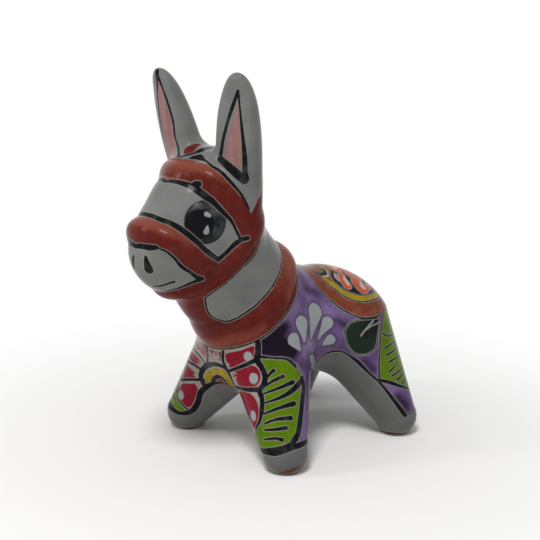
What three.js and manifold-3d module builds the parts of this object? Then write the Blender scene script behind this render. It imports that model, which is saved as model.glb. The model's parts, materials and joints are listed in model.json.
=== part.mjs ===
// A hand-painted earthenware donkey with a raised clay halter, standing on four splayed legs.
// Millimetres, +Z up. The donkey looks along -Y, its left side is +X, and it is symmetric about X = 0.
import * as THREE from 'three';
import { mergeVertices } from 'three/addons/utils/BufferGeometryUtils.js';
import Module from 'manifold-3d';

const wasm = await Module();
wasm.setup();

// Clay wall, luted seams and the size of a facet
const WALL = 5;
const SEAM = 0.3;
const OUTER_CELL = 4.3;
const HOLLOW_CELL = 6.5;
const SHORTEST_EDGE = 0.08;

// Barrel of the body, from the chest to the rump
const CHEST_RADIUS = 22;
const CHEST_Y = -21;
const CHEST_Z = 51;
const BARREL_LENGTH = 43;
const BARREL_WIDTH = 0.9;
const RUMP_RADIUS = 21.5;
const RUMP_DROP = 2.6;

// Ridge of the back, above the barrel and between the withers and the rump
const BACK_RADIUS = 12;
const BACK_START = 15;
const BACK_LENGTH = 20;
const BACK_RISE = 9.5;
const BACK_DROP = 2;
const BACK_BLEND = 10;

// Legs, from the shoulder below the chest or the haunch beside the rump down to a flat foot
const STANCE_WIDTH = 66.5;
const STANCE_LENGTH = 65.5;
const FRONT_FOOT_RADIUS = 9.4;
const FRONT_FOOT_TRIM = 2.2;
const REAR_FOOT_RADIUS = 9.2;
const REAR_FOOT_TRIM = 1.5;
const SHOULDER_RADIUS = 18;
const SHOULDER_OUT = 10;
const SHOULDER_FORWARD = 0.5;
const SHOULDER_DROP = 8.5;
const HAUNCH_RADIUS = 19.5;
const HAUNCH_OUT = 15;
const HAUNCH_FORWARD = 2.5;
const HAUNCH_DROP = 1.4;
const LEG_BLEND = 12;
const FRONT_LEG_SEAM = 0.4;
const REAR_LEG_SEAM = 0.55;

// Neck, rising forwards from the withers behind the chest, and the throat in front of it
const WITHERS_RADIUS = 21.8;
const WITHERS_BACK = 5.5;
const WITHERS_RISE = 5.5;
const NECK_LENGTH = 40;
const NECK_SLOPE = 47.5;
const NECK_TOP_RADIUS = 23.5;
const NECK_WIDTH = 0.94;
const THROAT_RADIUS = 12.2;
const THROAT_DROP = 17.5;
const THROAT_LENGTH = 15.6;
const THROAT_SLOPE = 39.7;
const NECK_BLEND = 10;

// Head: the skull sits on the neck, and the brow and the muzzle stand forward of the skull
const SKULL_RADIUS = 18.8;
const SKULL_FORWARD = 1;
const SKULL_RISE = 10;
const BROW_FORWARD = 8;
const BROW_RISE = 9.5;
const MUZZLE_RADIUS = 18.2;
const MUZZLE_FORWARD = 19;
const MUZZLE_DROP = 5;
const MUZZLE_WIDTH = 0.96;
const BRIDGE_RADIUS = 15.8;
const BRIDGE_SINK = 5.7;
const BRIDGE_SLOPE = 45;
const HEAD_BLEND = 10;
const JAW_BLEND = 6;

// Crest on top of the skull, between the ears
const CREST_RADIUS = 12;
const CREST_WIDTH = 18;
const CREST_BACK = 1.5;
const CREST_RISE = 22;
const CREST_BLEND = 8;

// Firing vent in the belly
const VENT_DIAMETER = 8;
const VENT_SIDES = 24;

// Halter and collar: raised rolls of clay, each lying in a tilted plane
const ROLL_HEIGHT = 2.2;
const COLLAR_HEIGHT = 2.6;
const COLLAR_FRONT_HEIGHT = 1;
const COLLAR_WIDTH = 13.5;
const COLLAR_TILT = 39;
const COLLAR_DIP = 2.5;
const COLLAR_UP_NECK = 18.3;
const THROATLATCH_WIDTH = 10;
const THROAT_THINNING = 1;
const THROATLATCH_TILT = 42;
const THROATLATCH_PAST_NECK = 5.8;
const NOSEBAND_WIDTH = 11;
const NOSEBAND_TILT = -38.7;
const NOSEBAND_BACK = 26;
const NOSEBAND_PAST_MUZZLE = 2;
const BROWBAND_WIDTH = 12;
const BROWBAND_TILT = -59;
const BROWBAND_BACK = 11.4;
const BROWBAND_BEHIND_BROW = 2.5;
const BROWBAND_BOW = 2;
const STRAP_ROOT = 1.5;
const STRAP_ROOT_WIDTH = 0.8;

// Ears, rooted below the crest and leaning out and forwards
const EAR_ROOT_OUT = 12.5;
const EAR_ROOT_BACK = 2;
const EAR_ROOT_DROP = 16;
const EAR_RISE = 58;
const EAR_LEAN_OUT = 13.5;
const EAR_LEAN_FORWARD = 10.5;
const EAR_WIDTH = 20.8;
const EAR_THICKNESS = 15.2;
const EAR_FRONT = 0.4;
const EAR_TURN = 10;
const EAR_TAPER = 0.38;
const EAR_BLUNTNESS = 3;
const EAR_HOLLOW = 1.8;
const EAR_HOLLOW_WIDTH = 0.8;

// Eyes, in front of the brow and below it
const EYE_DIAMETER = 16;
const EYE_DOME = 2;
const EYE_FORWARD = 8;
const EYE_DROP = 2.1;

// Tail, a roll of clay laid down the rump between two angles from the level
const TAIL_TOP = 25;
const TAIL_BOTTOM = -35;
const TAIL_WIDTH = 7;
const TAIL_HEIGHT = 4;
const TAIL_END_WIDTH = 0.6;
const TAIL_END_HEIGHT = 0.4;

// How finely the modelled pieces are faceted
const RING_STEPS = 36;
const ARCH_STEPS = 22;
const STRAP_FACETS = 5;
const EAR_RINGS = 12;
const EAR_SIDES = 18;
const EYE_SIDES = 20;
const EYE_RINGS = 4;
const TAIL_STEPS = 12;

// How finely the skin is searched for
const BISECTIONS = 30;
const PROJECTIONS = 3;
const SLOPE_STEP = 0.05;

const DEGREE = Math.PI / 180;
const V = (x, y, z) => new THREE.Vector3(x, y, z);

// Moves a point on X = 0 forwards (towards -Y) and up
const shift = (p, forward, rise) => V(p.x, p.y - forward, p.z + rise);
function slope(p, length, degrees) {
  return shift(p, length * Math.cos(degrees * DEGREE), length * Math.sin(degrees * DEGREE));
}

const CHEST = V(0, CHEST_Y, CHEST_Z);
const RUMP = shift(CHEST, -BARREL_LENGTH, -RUMP_DROP);
const WITHERS = shift(CHEST, -WITHERS_BACK, WITHERS_RISE);
const NECK_TOP = slope(WITHERS, NECK_LENGTH, NECK_SLOPE);
const THROAT = shift(NECK_TOP, 0, -THROAT_DROP);
const SKULL = shift(NECK_TOP, SKULL_FORWARD, SKULL_RISE);
const BROW = shift(SKULL, BROW_FORWARD, BROW_RISE);
const MUZZLE = shift(SKULL, MUZZLE_FORWARD, -MUZZLE_DROP);
const CREST = shift(SKULL, -CREST_BACK, CREST_RISE);

// Signed distance to a tapered roll of clay between two balls, narrowed across X by widthRatio
function roll(from, to, radiusFrom, radiusTo, widthRatio = 1) {
  const start = V(from.x / widthRatio, from.y, from.z);
  const run = V(to.x / widthRatio, to.y, to.z).sub(start);
  const lengthSq = run.lengthSq();
  const field = (p) => {
    const x = p.x / widthRatio - start.x;
    const y = p.y - start.y;
    const z = p.z - start.z;
    const along = THREE.MathUtils.clamp((x * run.x + y * run.y + z * run.z) / lengthSq, 0, 1);
    const off = Math.hypot(x - along * run.x, y - along * run.y, z - along * run.z);
    return off - (radiusFrom + (radiusTo - radiusFrom) * along);
  };
  field.balls = [[from, radiusFrom], [to, radiusTo]];
  return field;
}

// Joins two rolls with a smoothed fillet of about the given size
function blend(a, b, size) {
  const overlap = Math.max(size - Math.abs(a - b), 0) / size;
  return Math.min(a, b) - overlap * overlap * size * 0.25;
}

// Where each leg starts and ends
function legLine(side, front) {
  const footRadius = front ? FRONT_FOOT_RADIUS : REAR_FOOT_RADIUS;
  const footHeight = footRadius - (front ? FRONT_FOOT_TRIM : REAR_FOOT_TRIM);
  const foot = V((side * STANCE_WIDTH) / 2, ((front ? -1 : 1) * STANCE_LENGTH) / 2, footHeight);
  const shoulder = shift(CHEST, SHOULDER_FORWARD, -SHOULDER_DROP).setX(side * SHOULDER_OUT);
  const haunch = shift(RUMP, HAUNCH_FORWARD, -HAUNCH_DROP).setX(side * HAUNCH_OUT);
  const top = front ? shoulder : haunch;
  return { top, foot, topRadius: front ? SHOULDER_RADIUS : HAUNCH_RADIUS, footRadius };
}

const LEGS = [
  { name: 'front_left_leg', side: 1, front: true },
  { name: 'front_right_leg', side: -1, front: true },
  { name: 'rear_left_leg', side: 1, front: false },
  { name: 'rear_right_leg', side: -1, front: false },
];

const barrel = roll(CHEST, RUMP, CHEST_RADIUS, RUMP_RADIUS, BARREL_WIDTH);
const BACK = shift(CHEST, -BACK_START, BACK_RISE);
const back = roll(BACK, shift(BACK, -BACK_LENGTH, -BACK_DROP), BACK_RADIUS, BACK_RADIUS);
const neck = roll(WITHERS, NECK_TOP, WITHERS_RADIUS, NECK_TOP_RADIUS, NECK_WIDTH);
const THROAT_END = slope(THROAT, -THROAT_LENGTH, THROAT_SLOPE);
const throat = roll(THROAT, THROAT_END, THROAT_RADIUS, THROAT_RADIUS, NECK_WIDTH);
const skull = roll(SKULL, BROW, SKULL_RADIUS, SKULL_RADIUS);
const BRIDGE = slope(SKULL.clone().lerp(BROW, 0.5), BRIDGE_SINK, -BRIDGE_SLOPE);
const muzzle = roll(BRIDGE, MUZZLE, BRIDGE_RADIUS, MUZZLE_RADIUS, MUZZLE_WIDTH);
const crestEnd = (side) => CREST.clone().setX((side * CREST_WIDTH) / 2);
const crest = roll(crestEnd(-1), crestEnd(1), CREST_RADIUS, CREST_RADIUS);
const limbs = LEGS.map(({ side, front }) => {
  const { top, foot, topRadius, footRadius } = legLine(side, front);
  return roll(top, foot, topRadius, footRadius);
});

// The outside of the modelled clay: negative inside, zero on the skin
function clay(p) {
  let d = blend(barrel(p), back(p), BACK_BLEND);
  for (const limb of limbs) {
    d = blend(d, limb(p), LEG_BLEND);
  }
  d = blend(d, blend(neck(p), throat(p), NECK_BLEND), NECK_BLEND);
  const head = blend(blend(skull(p), muzzle(p), HEAD_BLEND), crest(p), CREST_BLEND);
  return blend(d, head, JAW_BLEND);
}

// The hollow inside the barrel, neck and head, one wall in from the skin; the legs are solid
function hollow(p) {
  const body = blend(barrel(p), neck(p), NECK_BLEND);
  return blend(body, blend(skull(p), muzzle(p), HEAD_BLEND), JAW_BLEND) + WALL;
}

function gradient(field, p) {
  const e = SLOPE_STEP;
  return V(
    field(V(p.x + e, p.y, p.z)) - field(V(p.x - e, p.y, p.z)),
    field(V(p.x, p.y + e, p.z)) - field(V(p.x, p.y - e, p.z)),
    field(V(p.x, p.y, p.z + e)) - field(V(p.x, p.y, p.z - e)),
  ).divideScalar(2 * e);
}

// Turns a field into a closed triangle mesh: one vertex in each cell that the skin crosses.
// The cells are counted from the origin, so that left and right come out alike.
function polygonise(field, box, cell) {
  const origin = box.min.clone().divideScalar(cell).floor();
  const size = box.max.clone().divideScalar(cell).ceil().sub(origin);
  const n = [size.x + 1, size.y + 1, size.z + 1];
  const at = (i, j, k) => i + n[0] * (j + n[1] * k);
  const node = (i, j, k) => V(i, j, k).add(origin).multiplyScalar(cell);
  const value = new Float64Array(n[0] * n[1] * n[2]);
  for (let k = 0; k < n[2]; k++) {
    for (let j = 0; j < n[1]; j++) {
      for (let i = 0; i < n[0]; i++) {
        value[at(i, j, k)] = field(node(i, j, k));
      }
    }
  }
  const corners = [0, 1, 2, 3, 4, 5, 6, 7].map((c) => [c & 1, (c >> 1) & 1, c >> 2]);
  const edges = [];
  for (let a = 0; a < 8; a++) {
    for (const bit of [1, 2, 4]) {
      if (!(a & bit)) edges.push([a, a | bit]);
    }
  }
  const id = new Int32Array(value.length).fill(-1);
  const positions = [];
  for (let k = 0; k < n[2] - 1; k++) {
    for (let j = 0; j < n[1] - 1; j++) {
      for (let i = 0; i < n[0] - 1; i++) {
        const v = corners.map(([x, y, z]) => value[at(i + x, j + y, k + z)]);
        const crossed = edges.filter(([a, b]) => (v[a] < 0) !== (v[b] < 0));
        if (crossed.length === 0) continue;
        const mean = V(0, 0, 0);
        for (const [a, b] of crossed) {
          const p = node(i + corners[a][0], j + corners[a][1], k + corners[a][2]);
          const q = node(i + corners[b][0], j + corners[b][1], k + corners[b][2]);
          mean.add(p.lerp(q, v[a] / (v[a] - v[b])));
        }
        mean.divideScalar(crossed.length);
        for (let step = 0; step < PROJECTIONS; step++) {
          const uphill = gradient(field, mean);
          mean.addScaledVector(uphill, -field(mean) / uphill.lengthSq());
        }
        id[at(i, j, k)] = positions.length / 3;
        positions.push(mean.x, mean.y, mean.z);
      }
    }
  }
  const triangles = [];
  const quad = (a, b, c, d, flip) => {
    if (flip) triangles.push(a, c, b, a, d, c);
    else triangles.push(a, b, c, a, c, d);
  };
  for (let k = 1; k < n[2] - 1; k++) {
    for (let j = 1; j < n[1] - 1; j++) {
      for (let i = 1; i < n[0] - 1; i++) {
        const inside = value[at(i, j, k)] < 0;
        const cells = (di, dj, dk) => id[at(i - di, j - dj, k - dk)];
        if (inside !== value[at(i + 1, j, k)] < 0) {
          quad(cells(0, 1, 1), cells(0, 0, 1), cells(0, 0, 0), cells(0, 1, 0), !inside);
        }
        if (inside !== value[at(i, j + 1, k)] < 0) {
          quad(cells(1, 0, 1), cells(1, 0, 0), cells(0, 0, 0), cells(0, 0, 1), !inside);
        }
        if (inside !== value[at(i, j, k + 1)] < 0) {
          quad(cells(1, 1, 0), cells(0, 1, 0), cells(0, 0, 0), cells(1, 0, 0), !inside);
        }
      }
    }
  }
  return closedGeometry(positions, triangles);
}

function closedGeometry(positions, triangles) {
  const geometry = new THREE.BufferGeometry();
  geometry.setAttribute('position', new THREE.Float32BufferAttribute(positions, 3));
  geometry.setIndex(triangles);
  return geometry;
}

// A closed three.js geometry as a solid for joining and cutting
function toSolid(geometry) {
  const bare = geometry.clone();
  bare.deleteAttribute('normal');
  bare.deleteAttribute('uv');
  const merged = mergeVertices(bare, 1e-4);
  const vertProperties = Float32Array.from(merged.attributes.position.array);
  const triVerts = Uint32Array.from(merged.index.array);
  return new wasm.Manifold(new wasm.Mesh({ numProp: 3, vertProperties, triVerts }));
}

// Draws together the ends of edges that a cut left too short, wherever the skin stays closed
function closeShortEdges(positions, triangles) {
  const point = (v) => V(positions[3 * v], positions[3 * v + 1], positions[3 * v + 2]);
  const faces = [];
  const around = new Map();
  for (let t = 0; t < triangles.length; t += 3) {
    const face = [triangles[t], triangles[t + 1], triangles[t + 2]];
    faces.push(face);
    for (const v of face) {
      if (!around.has(v)) around.set(v, new Set());
      around.get(v).add(face);
    }
  }
  const neighbours = (v) => new Set([...around.get(v)].flat().filter((n) => n !== v));
  for (const start of faces) {
    for (let side = 0; side < 3; side++) {
      const [keep, drop] = [start[side], start[(side + 1) % 3]];
      const alive = keep !== drop && around.get(keep)?.has(start) && around.get(drop)?.has(start);
      if (!alive || point(keep).distanceTo(point(drop)) > SHORTEST_EDGE) continue;
      const shared = [...neighbours(keep)].filter((n) => neighbours(drop).has(n));
      if (shared.length !== 2) continue;
      for (const face of [...around.get(drop)]) {
        if (face.includes(keep)) {
          face.forEach((v) => around.get(v).delete(face));
        } else {
          face[face.indexOf(drop)] = keep;
          around.get(keep).add(face);
        }
      }
      around.delete(drop);
    }
  }
  return faces.filter((face) => around.get(face[0])?.has(face)).flat();
}

function toGeometry(solid) {
  const mesh = solid.getMesh();
  const positions = Array.from(mesh.vertProperties);
  const triangles = closeShortEdges(positions, Array.from(mesh.triVerts));
  const used = mergeVertices(closedGeometry(positions, triangles).toNonIndexed(), 0);
  used.computeVertexNormals();
  return used;
}

// A box that starts at a point and reaches away from it along a direction
function block(point, direction, width, reach) {
  const geometry = new THREE.BoxGeometry(width, width, reach).translate(0, 0, reach / 2);
  geometry.applyQuaternion(new THREE.Quaternion().setFromUnitVectors(V(0, 0, 1), direction));
  return toSolid(geometry.translate(point.x, point.y, point.z));
}

// Goes from a point inside the clay along a direction out to its skin
function skinFrom(start, direction) {
  let near = 0;
  let far = CHEST_RADIUS + RUMP_RADIUS;
  for (let step = 0; step < BISECTIONS; step++) {
    const middle = (near + far) / 2;
    if (clay(start.clone().addScaledVector(direction, middle)) < 0) near = middle;
    else far = middle;
  }
  return start.clone().addScaledVector(direction, near);
}

// Sweeps a low rounded section along a path on the skin; what sinks into the clay is cut off later
function rawStrap(path, widthAt, heightAt, closed) {
  const count = path.length;
  const step = (i, by) => (closed ? (i + by + count) % count : THREE.MathUtils.clamp(i + by, 0, count - 1));
  const sides = STRAP_FACETS + 3;
  const positions = [];
  path.forEach((point, i) => {
    const run = path[step(i, 1)].clone().sub(path[step(i, -1)]).normalize();
    const out = gradient(clay, point).normalize();
    out.addScaledVector(run, -out.dot(run)).normalize();
    const across = run.clone().cross(out);
    const t = i / (closed ? count : count - 1);
    const corner = (side, lift) => {
      const p = point.clone().addScaledVector(across, (side * widthAt(t)) / 2);
      positions.push(...p.addScaledVector(out, lift).toArray());
    };
    for (let s = 0; s <= STRAP_FACETS; s++) {
      const a = (s / STRAP_FACETS) * Math.PI;
      corner(Math.cos(a), Math.sin(a) * heightAt(t));
    }
    corner(-STRAP_ROOT_WIDTH, -STRAP_ROOT);
    corner(STRAP_ROOT_WIDTH, -STRAP_ROOT);
  });
  const triangles = [];
  for (let i = 0; i < (closed ? count : count - 1); i++) {
    const a = i * sides;
    const b = ((i + 1) % count) * sides;
    for (let s = 0; s < sides; s++) {
      const t = (s + 1) % sides;
      triangles.push(a + s, b + s, b + t, a + s, b + t, a + t);
    }
  }
  const last = (count - 1) * sides;
  for (let s = 1; s < sides - 1 && !closed; s++) {
    triangles.push(0, s, s + 1, last, last + s + 1, last + s);
  }
  return toSolid(closedGeometry(positions, triangles));
}

// A plane square to the YZ plane, tilted up towards +Y by an angle, through a point on X = 0
function tiltedPlane(centre, degrees) {
  const angle = degrees * DEGREE;
  const up = V(0, -Math.sin(angle), Math.cos(angle));
  const back = V(0, Math.cos(angle), Math.sin(angle));
  return { centre, up, back };
}

// The skin point of a tilted plane at an angle from +X towards the plane's back, lifted off the plane
function planePoint(plane, angle, lift) {
  const direction = V(Math.cos(angle), 0, 0).addScaledVector(plane.back, Math.sin(angle));
  return skinFrom(plane.centre.clone().addScaledVector(plane.up, lift), direction);
}

function ringPath(plane, dip) {
  const angles = Array.from({ length: RING_STEPS }, (_, i) => (i / RING_STEPS) * 2 * Math.PI);
  return angles.map((angle) => planePoint(plane, angle, -dip * Math.cos(angle) ** 2));
}

// An arch over the face: both ends run back down the cheeks into the throatlatch
function archPath(plane, bow) {
  let low = 0;
  let high = Math.PI / 2;
  for (let step = 0; step < BISECTIONS; step++) {
    const middle = (low + high) / 2;
    const ahead = planePoint(plane, middle, 0).sub(latchPlane.centre).dot(latchPlane.up);
    if (ahead > 0) low = middle;
    else high = middle;
  }
  return Array.from({ length: ARCH_STEPS + 1 }, (_, i) => {
    const t = i / ARCH_STEPS;
    const angle = low - t * (Math.PI + 2 * low);
    return planePoint(plane, angle, bow * Math.sin(Math.abs(2 * t - 1) * Math.PI));
  });
}

// An upright ear: a tapered leaf, round behind and dished in front, with a rounded tip
function earSolid(side) {
  const root = shift(CREST, -EAR_ROOT_BACK, -EAR_ROOT_DROP).setX(side * EAR_ROOT_OUT);
  const tip = shift(root, EAR_LEAN_FORWARD, EAR_RISE);
  tip.x += side * EAR_LEAN_OUT;
  const axis = tip.clone().sub(root).normalize();
  const front = V(side * Math.sin(EAR_TURN * DEGREE), -Math.cos(EAR_TURN * DEGREE), 0);
  front.addScaledVector(axis, -front.dot(axis)).normalize();
  const across = front.clone().cross(axis);
  const positions = [];
  for (let ring = 0; ring <= EAR_RINGS; ring++) {
    const fromTip = 1 - ring / (EAR_RINGS + 0.5);
    const t = 1 - fromTip * fromTip;
    const taper = (1 - t ** EAR_BLUNTNESS) ** EAR_TAPER;
    for (let s = 0; s < EAR_SIDES; s++) {
      const angle = (s / EAR_SIDES) * 2 * Math.PI;
      const wide = Math.cos(angle);
      const deep = Math.sin(angle);
      const dish = deep > 0 ? EAR_HOLLOW * Math.max(0, 1 - (wide / EAR_HOLLOW_WIDTH) ** 2) : 0;
      const share = deep > 0 ? EAR_FRONT : 1 - EAR_FRONT;
      const p = root.clone().lerp(tip, t);
      p.addScaledVector(across, (wide * taper * EAR_WIDTH) / 2);
      p.addScaledVector(front, (deep * share * EAR_THICKNESS - dish) * taper);
      positions.push(...p.toArray());
    }
  }
  const triangles = [];
  for (let ring = 0; ring < EAR_RINGS; ring++) {
    for (let s = 0; s < EAR_SIDES; s++) {
      const a = ring * EAR_SIDES + s;
      const b = ring * EAR_SIDES + ((s + 1) % EAR_SIDES);
      triangles.push(a, b, b + EAR_SIDES, a, b + EAR_SIDES, a + EAR_SIDES);
    }
  }
  const bottom = positions.length / 3;
  positions.push(...root.toArray(), ...tip.toArray());
  const last = EAR_RINGS * EAR_SIDES;
  for (let s = 0; s < EAR_SIDES; s++) {
    const next = (s + 1) % EAR_SIDES;
    triangles.push(bottom, next, s, bottom + 1, last + s, last + next);
  }
  return toSolid(closedGeometry(positions, triangles));
}

// A domed bead of clay pressed on to the cheek
function eyeSolid(side) {
  const radius = EYE_DIAMETER / 2;
  const socket = skinFrom(shift(BROW, EYE_FORWARD, -EYE_DROP), V(side, 0, 0));
  const sink = (radius * radius) / (2 * SKULL_RADIUS);
  const profile = [new THREE.Vector2(0, -radius), new THREE.Vector2(radius, -radius)];
  for (let i = 0; i < EYE_RINGS; i++) {
    const a = ((i / EYE_RINGS) * Math.PI) / 2;
    profile.push(new THREE.Vector2(radius * Math.cos(a), -sink + (EYE_DOME + sink) * Math.sin(a)));
  }
  profile.push(new THREE.Vector2(0, EYE_DOME));
  const bead = new THREE.LatheGeometry(profile, EYE_SIDES);
  const out = gradient(clay, socket).normalize();
  bead.applyQuaternion(new THREE.Quaternion().setFromUnitVectors(V(0, 1, 0), out));
  return toSolid(bead.translate(socket.x, socket.y, socket.z));
}

// The line of the tail down the middle of the rump
function tailPath() {
  const start = shift(RUMP, 0, -RUMP_RADIUS / 2);
  return Array.from({ length: TAIL_STEPS + 1 }, (_, i) => {
    const angle = THREE.MathUtils.lerp(TAIL_TOP, TAIL_BOTTOM, i / TAIL_STEPS) * DEGREE;
    return skinFrom(start, V(0, Math.cos(angle), Math.sin(angle)));
  });
}

// The space that the clay fills, with room round it for the blends
const SPACE = new THREE.Box3();
const ROLLS = [barrel, back, neck, throat, skull, muzzle, crest, ...limbs];
for (const [centre, radius] of ROLLS.flatMap((each) => each.balls)) {
  SPACE.union(new THREE.Box3(centre.clone().subScalar(radius), centre.clone().addScalar(radius)));
}
SPACE.expandByScalar(LEG_BLEND / 4 + HOLLOW_CELL);
const REACH = SPACE.getSize(V(0, 0, 0)).length();

// The clay inside its skin and above the ground, and the skin moved out by a seam to seat what lies on it
const skin = toSolid(polygonise(clay, SPACE, OUTER_CELL));
const body = skin.intersect(block(V(0, 0, 0), V(0, 0, 1), REACH, REACH));
const seat = toSolid(polygonise((p) => clay(p) - SEAM, SPACE, OUTER_CELL));
const vent = new THREE.CylinderGeometry(VENT_DIAMETER / 2, VENT_DIAMETER / 2, CHEST_Z, VENT_SIDES);
vent.rotateX(Math.PI / 2).translate(0, 0, CHEST_Z / 2);
const shell = body.subtract(toSolid(polygonise(hollow, SPACE, HOLLOW_CELL))).subtract(toSolid(vent));

// The planes that the straps lie in, each centred inside the clay
function offset(plane, back, up) {
  plane.centre.addScaledVector(plane.back, back).addScaledVector(plane.up, up);
  return plane;
}
const collarPlane = tiltedPlane(slope(WITHERS, COLLAR_UP_NECK, NECK_SLOPE), COLLAR_TILT);
const latchPlane = tiltedPlane(slope(NECK_TOP, THROATLATCH_PAST_NECK, NECK_SLOPE), THROATLATCH_TILT);
const nosePlane = offset(tiltedPlane(MUZZLE.clone(), NOSEBAND_TILT), NOSEBAND_BACK, -NOSEBAND_PAST_MUZZLE);
const browPlane = offset(tiltedPlane(BROW.clone(), BROWBAND_TILT), BROWBAND_BACK, BROWBAND_BEHIND_BROW);

const donkey = new THREE.Group();
function add(name, solid, color) {
  const material = new THREE.MeshStandardMaterial({ color, roughness: 0.15, metalness: 0 });
  const mesh = new THREE.Mesh(toGeometry(solid), material);
  mesh.name = name;
  donkey.add(mesh);
}

const GREY = 0x85888b;
const RED = 0x9c3f2c;
const PURPLE = 0x6b5684;
const BLACK = 0x1d1e22;

// A half space beyond a plane, starting a little further along when a seam is left
function beyond(plane, gap) {
  return block(plane.centre.clone().addScaledVector(plane.up, gap), plane.up, REACH, REACH);
}

let torso = shell.subtract(beyond(collarPlane, 0));
for (const { name, side, front } of LEGS) {
  const { top, foot, topRadius } = legLine(side, front);
  const down = foot.clone().sub(top).normalize();
  const joint = top.clone().lerp(foot, front ? FRONT_LEG_SEAM : REAR_LEG_SEAM);
  const width = 2 * topRadius + LEG_BLEND;
  const length = foot.distanceTo(top);
  torso = torso.subtract(block(joint, down, width, length));
  const below = block(joint.addScaledVector(down, SEAM), down, width, length);
  add(name, body.intersect(below), GREY);
}
add('torso', torso, PURPLE);
add('neck', shell.intersect(beyond(collarPlane, SEAM)).subtract(beyond(latchPlane, 0)), GREY);
add('head', shell.intersect(beyond(latchPlane, SEAM)), GREY);

// The collar is pressed flat at the throat
const evenly = (value) => () => value;
const atFront = (t) => ((1 - Math.sin(t * 2 * Math.PI)) / 2) ** 2;
const collarHeight = (t) => THREE.MathUtils.lerp(COLLAR_HEIGHT, COLLAR_FRONT_HEIGHT, atFront(t));
const collar = rawStrap(ringPath(collarPlane, COLLAR_DIP), evenly(COLLAR_WIDTH), collarHeight, true);
add('collar', collar.subtract(seat), RED);

// The throatlatch lies over the ends of the two arches, and each strap leaves room round it for a seam
const latchRing = ringPath(latchPlane, 0);
const latchHeight = (t) => ROLL_HEIGHT - (THROAT_THINNING * (1 - Math.sin(t * 2 * Math.PI))) / 2;
const latch = rawStrap(latchRing, evenly(THROATLATCH_WIDTH), latchHeight, true);
const latchRoomHeight = (t) => latchHeight(t) + SEAM;
const latchRoom = rawStrap(latchRing, evenly(THROATLATCH_WIDTH + 2 * SEAM), latchRoomHeight, true);
const behindLatch = block(latchPlane.centre, latchPlane.up.clone().negate(), REACH, REACH);
add('throatlatch', latch.subtract(seat), RED);

const archHeight = (t) => ROLL_HEIGHT - THROAT_THINNING * Math.abs(2 * t - 1) ** 3;
const arch = (path, width, gap) => rawStrap(path, evenly(width + 2 * gap), (t) => archHeight(t) + gap, false);
const offClay = (solid) => solid.subtract(seat).subtract(latchRoom);
const nosePath = archPath(nosePlane, 0);
const browPath = archPath(browPlane, BROWBAND_BOW);
add('noseband', offClay(arch(nosePath, NOSEBAND_WIDTH, 0)).subtract(behindLatch), RED);
add('browband', offClay(arch(browPath, BROWBAND_WIDTH, 0)).subtract(behindLatch), RED);
const browRoom = arch(browPath, BROWBAND_WIDTH, SEAM);
for (const [word, side] of [['left', 1], ['right', -1]]) {
  add(`${word}_ear`, offClay(earSolid(side)).subtract(browRoom), GREY);
  add(`${word}_eye`, offClay(eyeSolid(side)).subtract(browRoom), BLACK);
}

// The tail is thinner at both ends
const swell = (t, full, endShare) => full * THREE.MathUtils.lerp(endShare, 1, Math.sin(Math.PI * t));
const tailWidth = (t) => swell(t, TAIL_WIDTH, TAIL_END_WIDTH);
const tailHeight = (t) => swell(t, TAIL_HEIGHT, TAIL_END_HEIGHT);
const tail = rawStrap(tailPath(), tailWidth, tailHeight, false);
add('tail', tail.subtract(seat), GREY);

// The origin is on the ground, in the middle of the donkey's length and width
const middle = new THREE.Box3().setFromObject(donkey, true).getCenter(V(0, 0, 0));
donkey.position.set(-middle.x, -middle.y, 0);

export default donkey;
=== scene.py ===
import json

import bpy
import numpy as np
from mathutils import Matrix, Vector


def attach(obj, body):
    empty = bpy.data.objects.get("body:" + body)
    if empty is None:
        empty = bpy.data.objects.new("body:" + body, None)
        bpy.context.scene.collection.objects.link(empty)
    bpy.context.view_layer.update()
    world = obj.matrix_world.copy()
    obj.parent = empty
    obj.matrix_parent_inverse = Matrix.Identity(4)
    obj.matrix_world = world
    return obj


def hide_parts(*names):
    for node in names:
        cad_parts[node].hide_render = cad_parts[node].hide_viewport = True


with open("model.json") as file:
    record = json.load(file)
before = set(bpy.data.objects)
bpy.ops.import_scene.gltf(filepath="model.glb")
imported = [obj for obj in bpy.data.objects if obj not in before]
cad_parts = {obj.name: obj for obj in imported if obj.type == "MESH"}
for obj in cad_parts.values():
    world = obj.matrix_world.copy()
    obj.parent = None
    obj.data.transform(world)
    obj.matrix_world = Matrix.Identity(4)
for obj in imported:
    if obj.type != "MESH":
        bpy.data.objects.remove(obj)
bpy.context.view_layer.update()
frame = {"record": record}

# The clay is worked out in millimetres about the middle of the four soles, looking along -Y
MM = 0.001
soles = [mount["pos_m"] for mount in frame["record"]["mounts"]]
FEET_MIDDLE = np.mean(soles, axis=0)


def rgb(code):
    """A colour written as it looks, as linear values."""
    parts = [int(code[i:i + 2], 16) / 255 for i in (0, 2, 4)]
    return [p / 12.92 if p <= 0.04045 else ((p + 0.055) / 1.055) ** 2.4 for p in parts]


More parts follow.
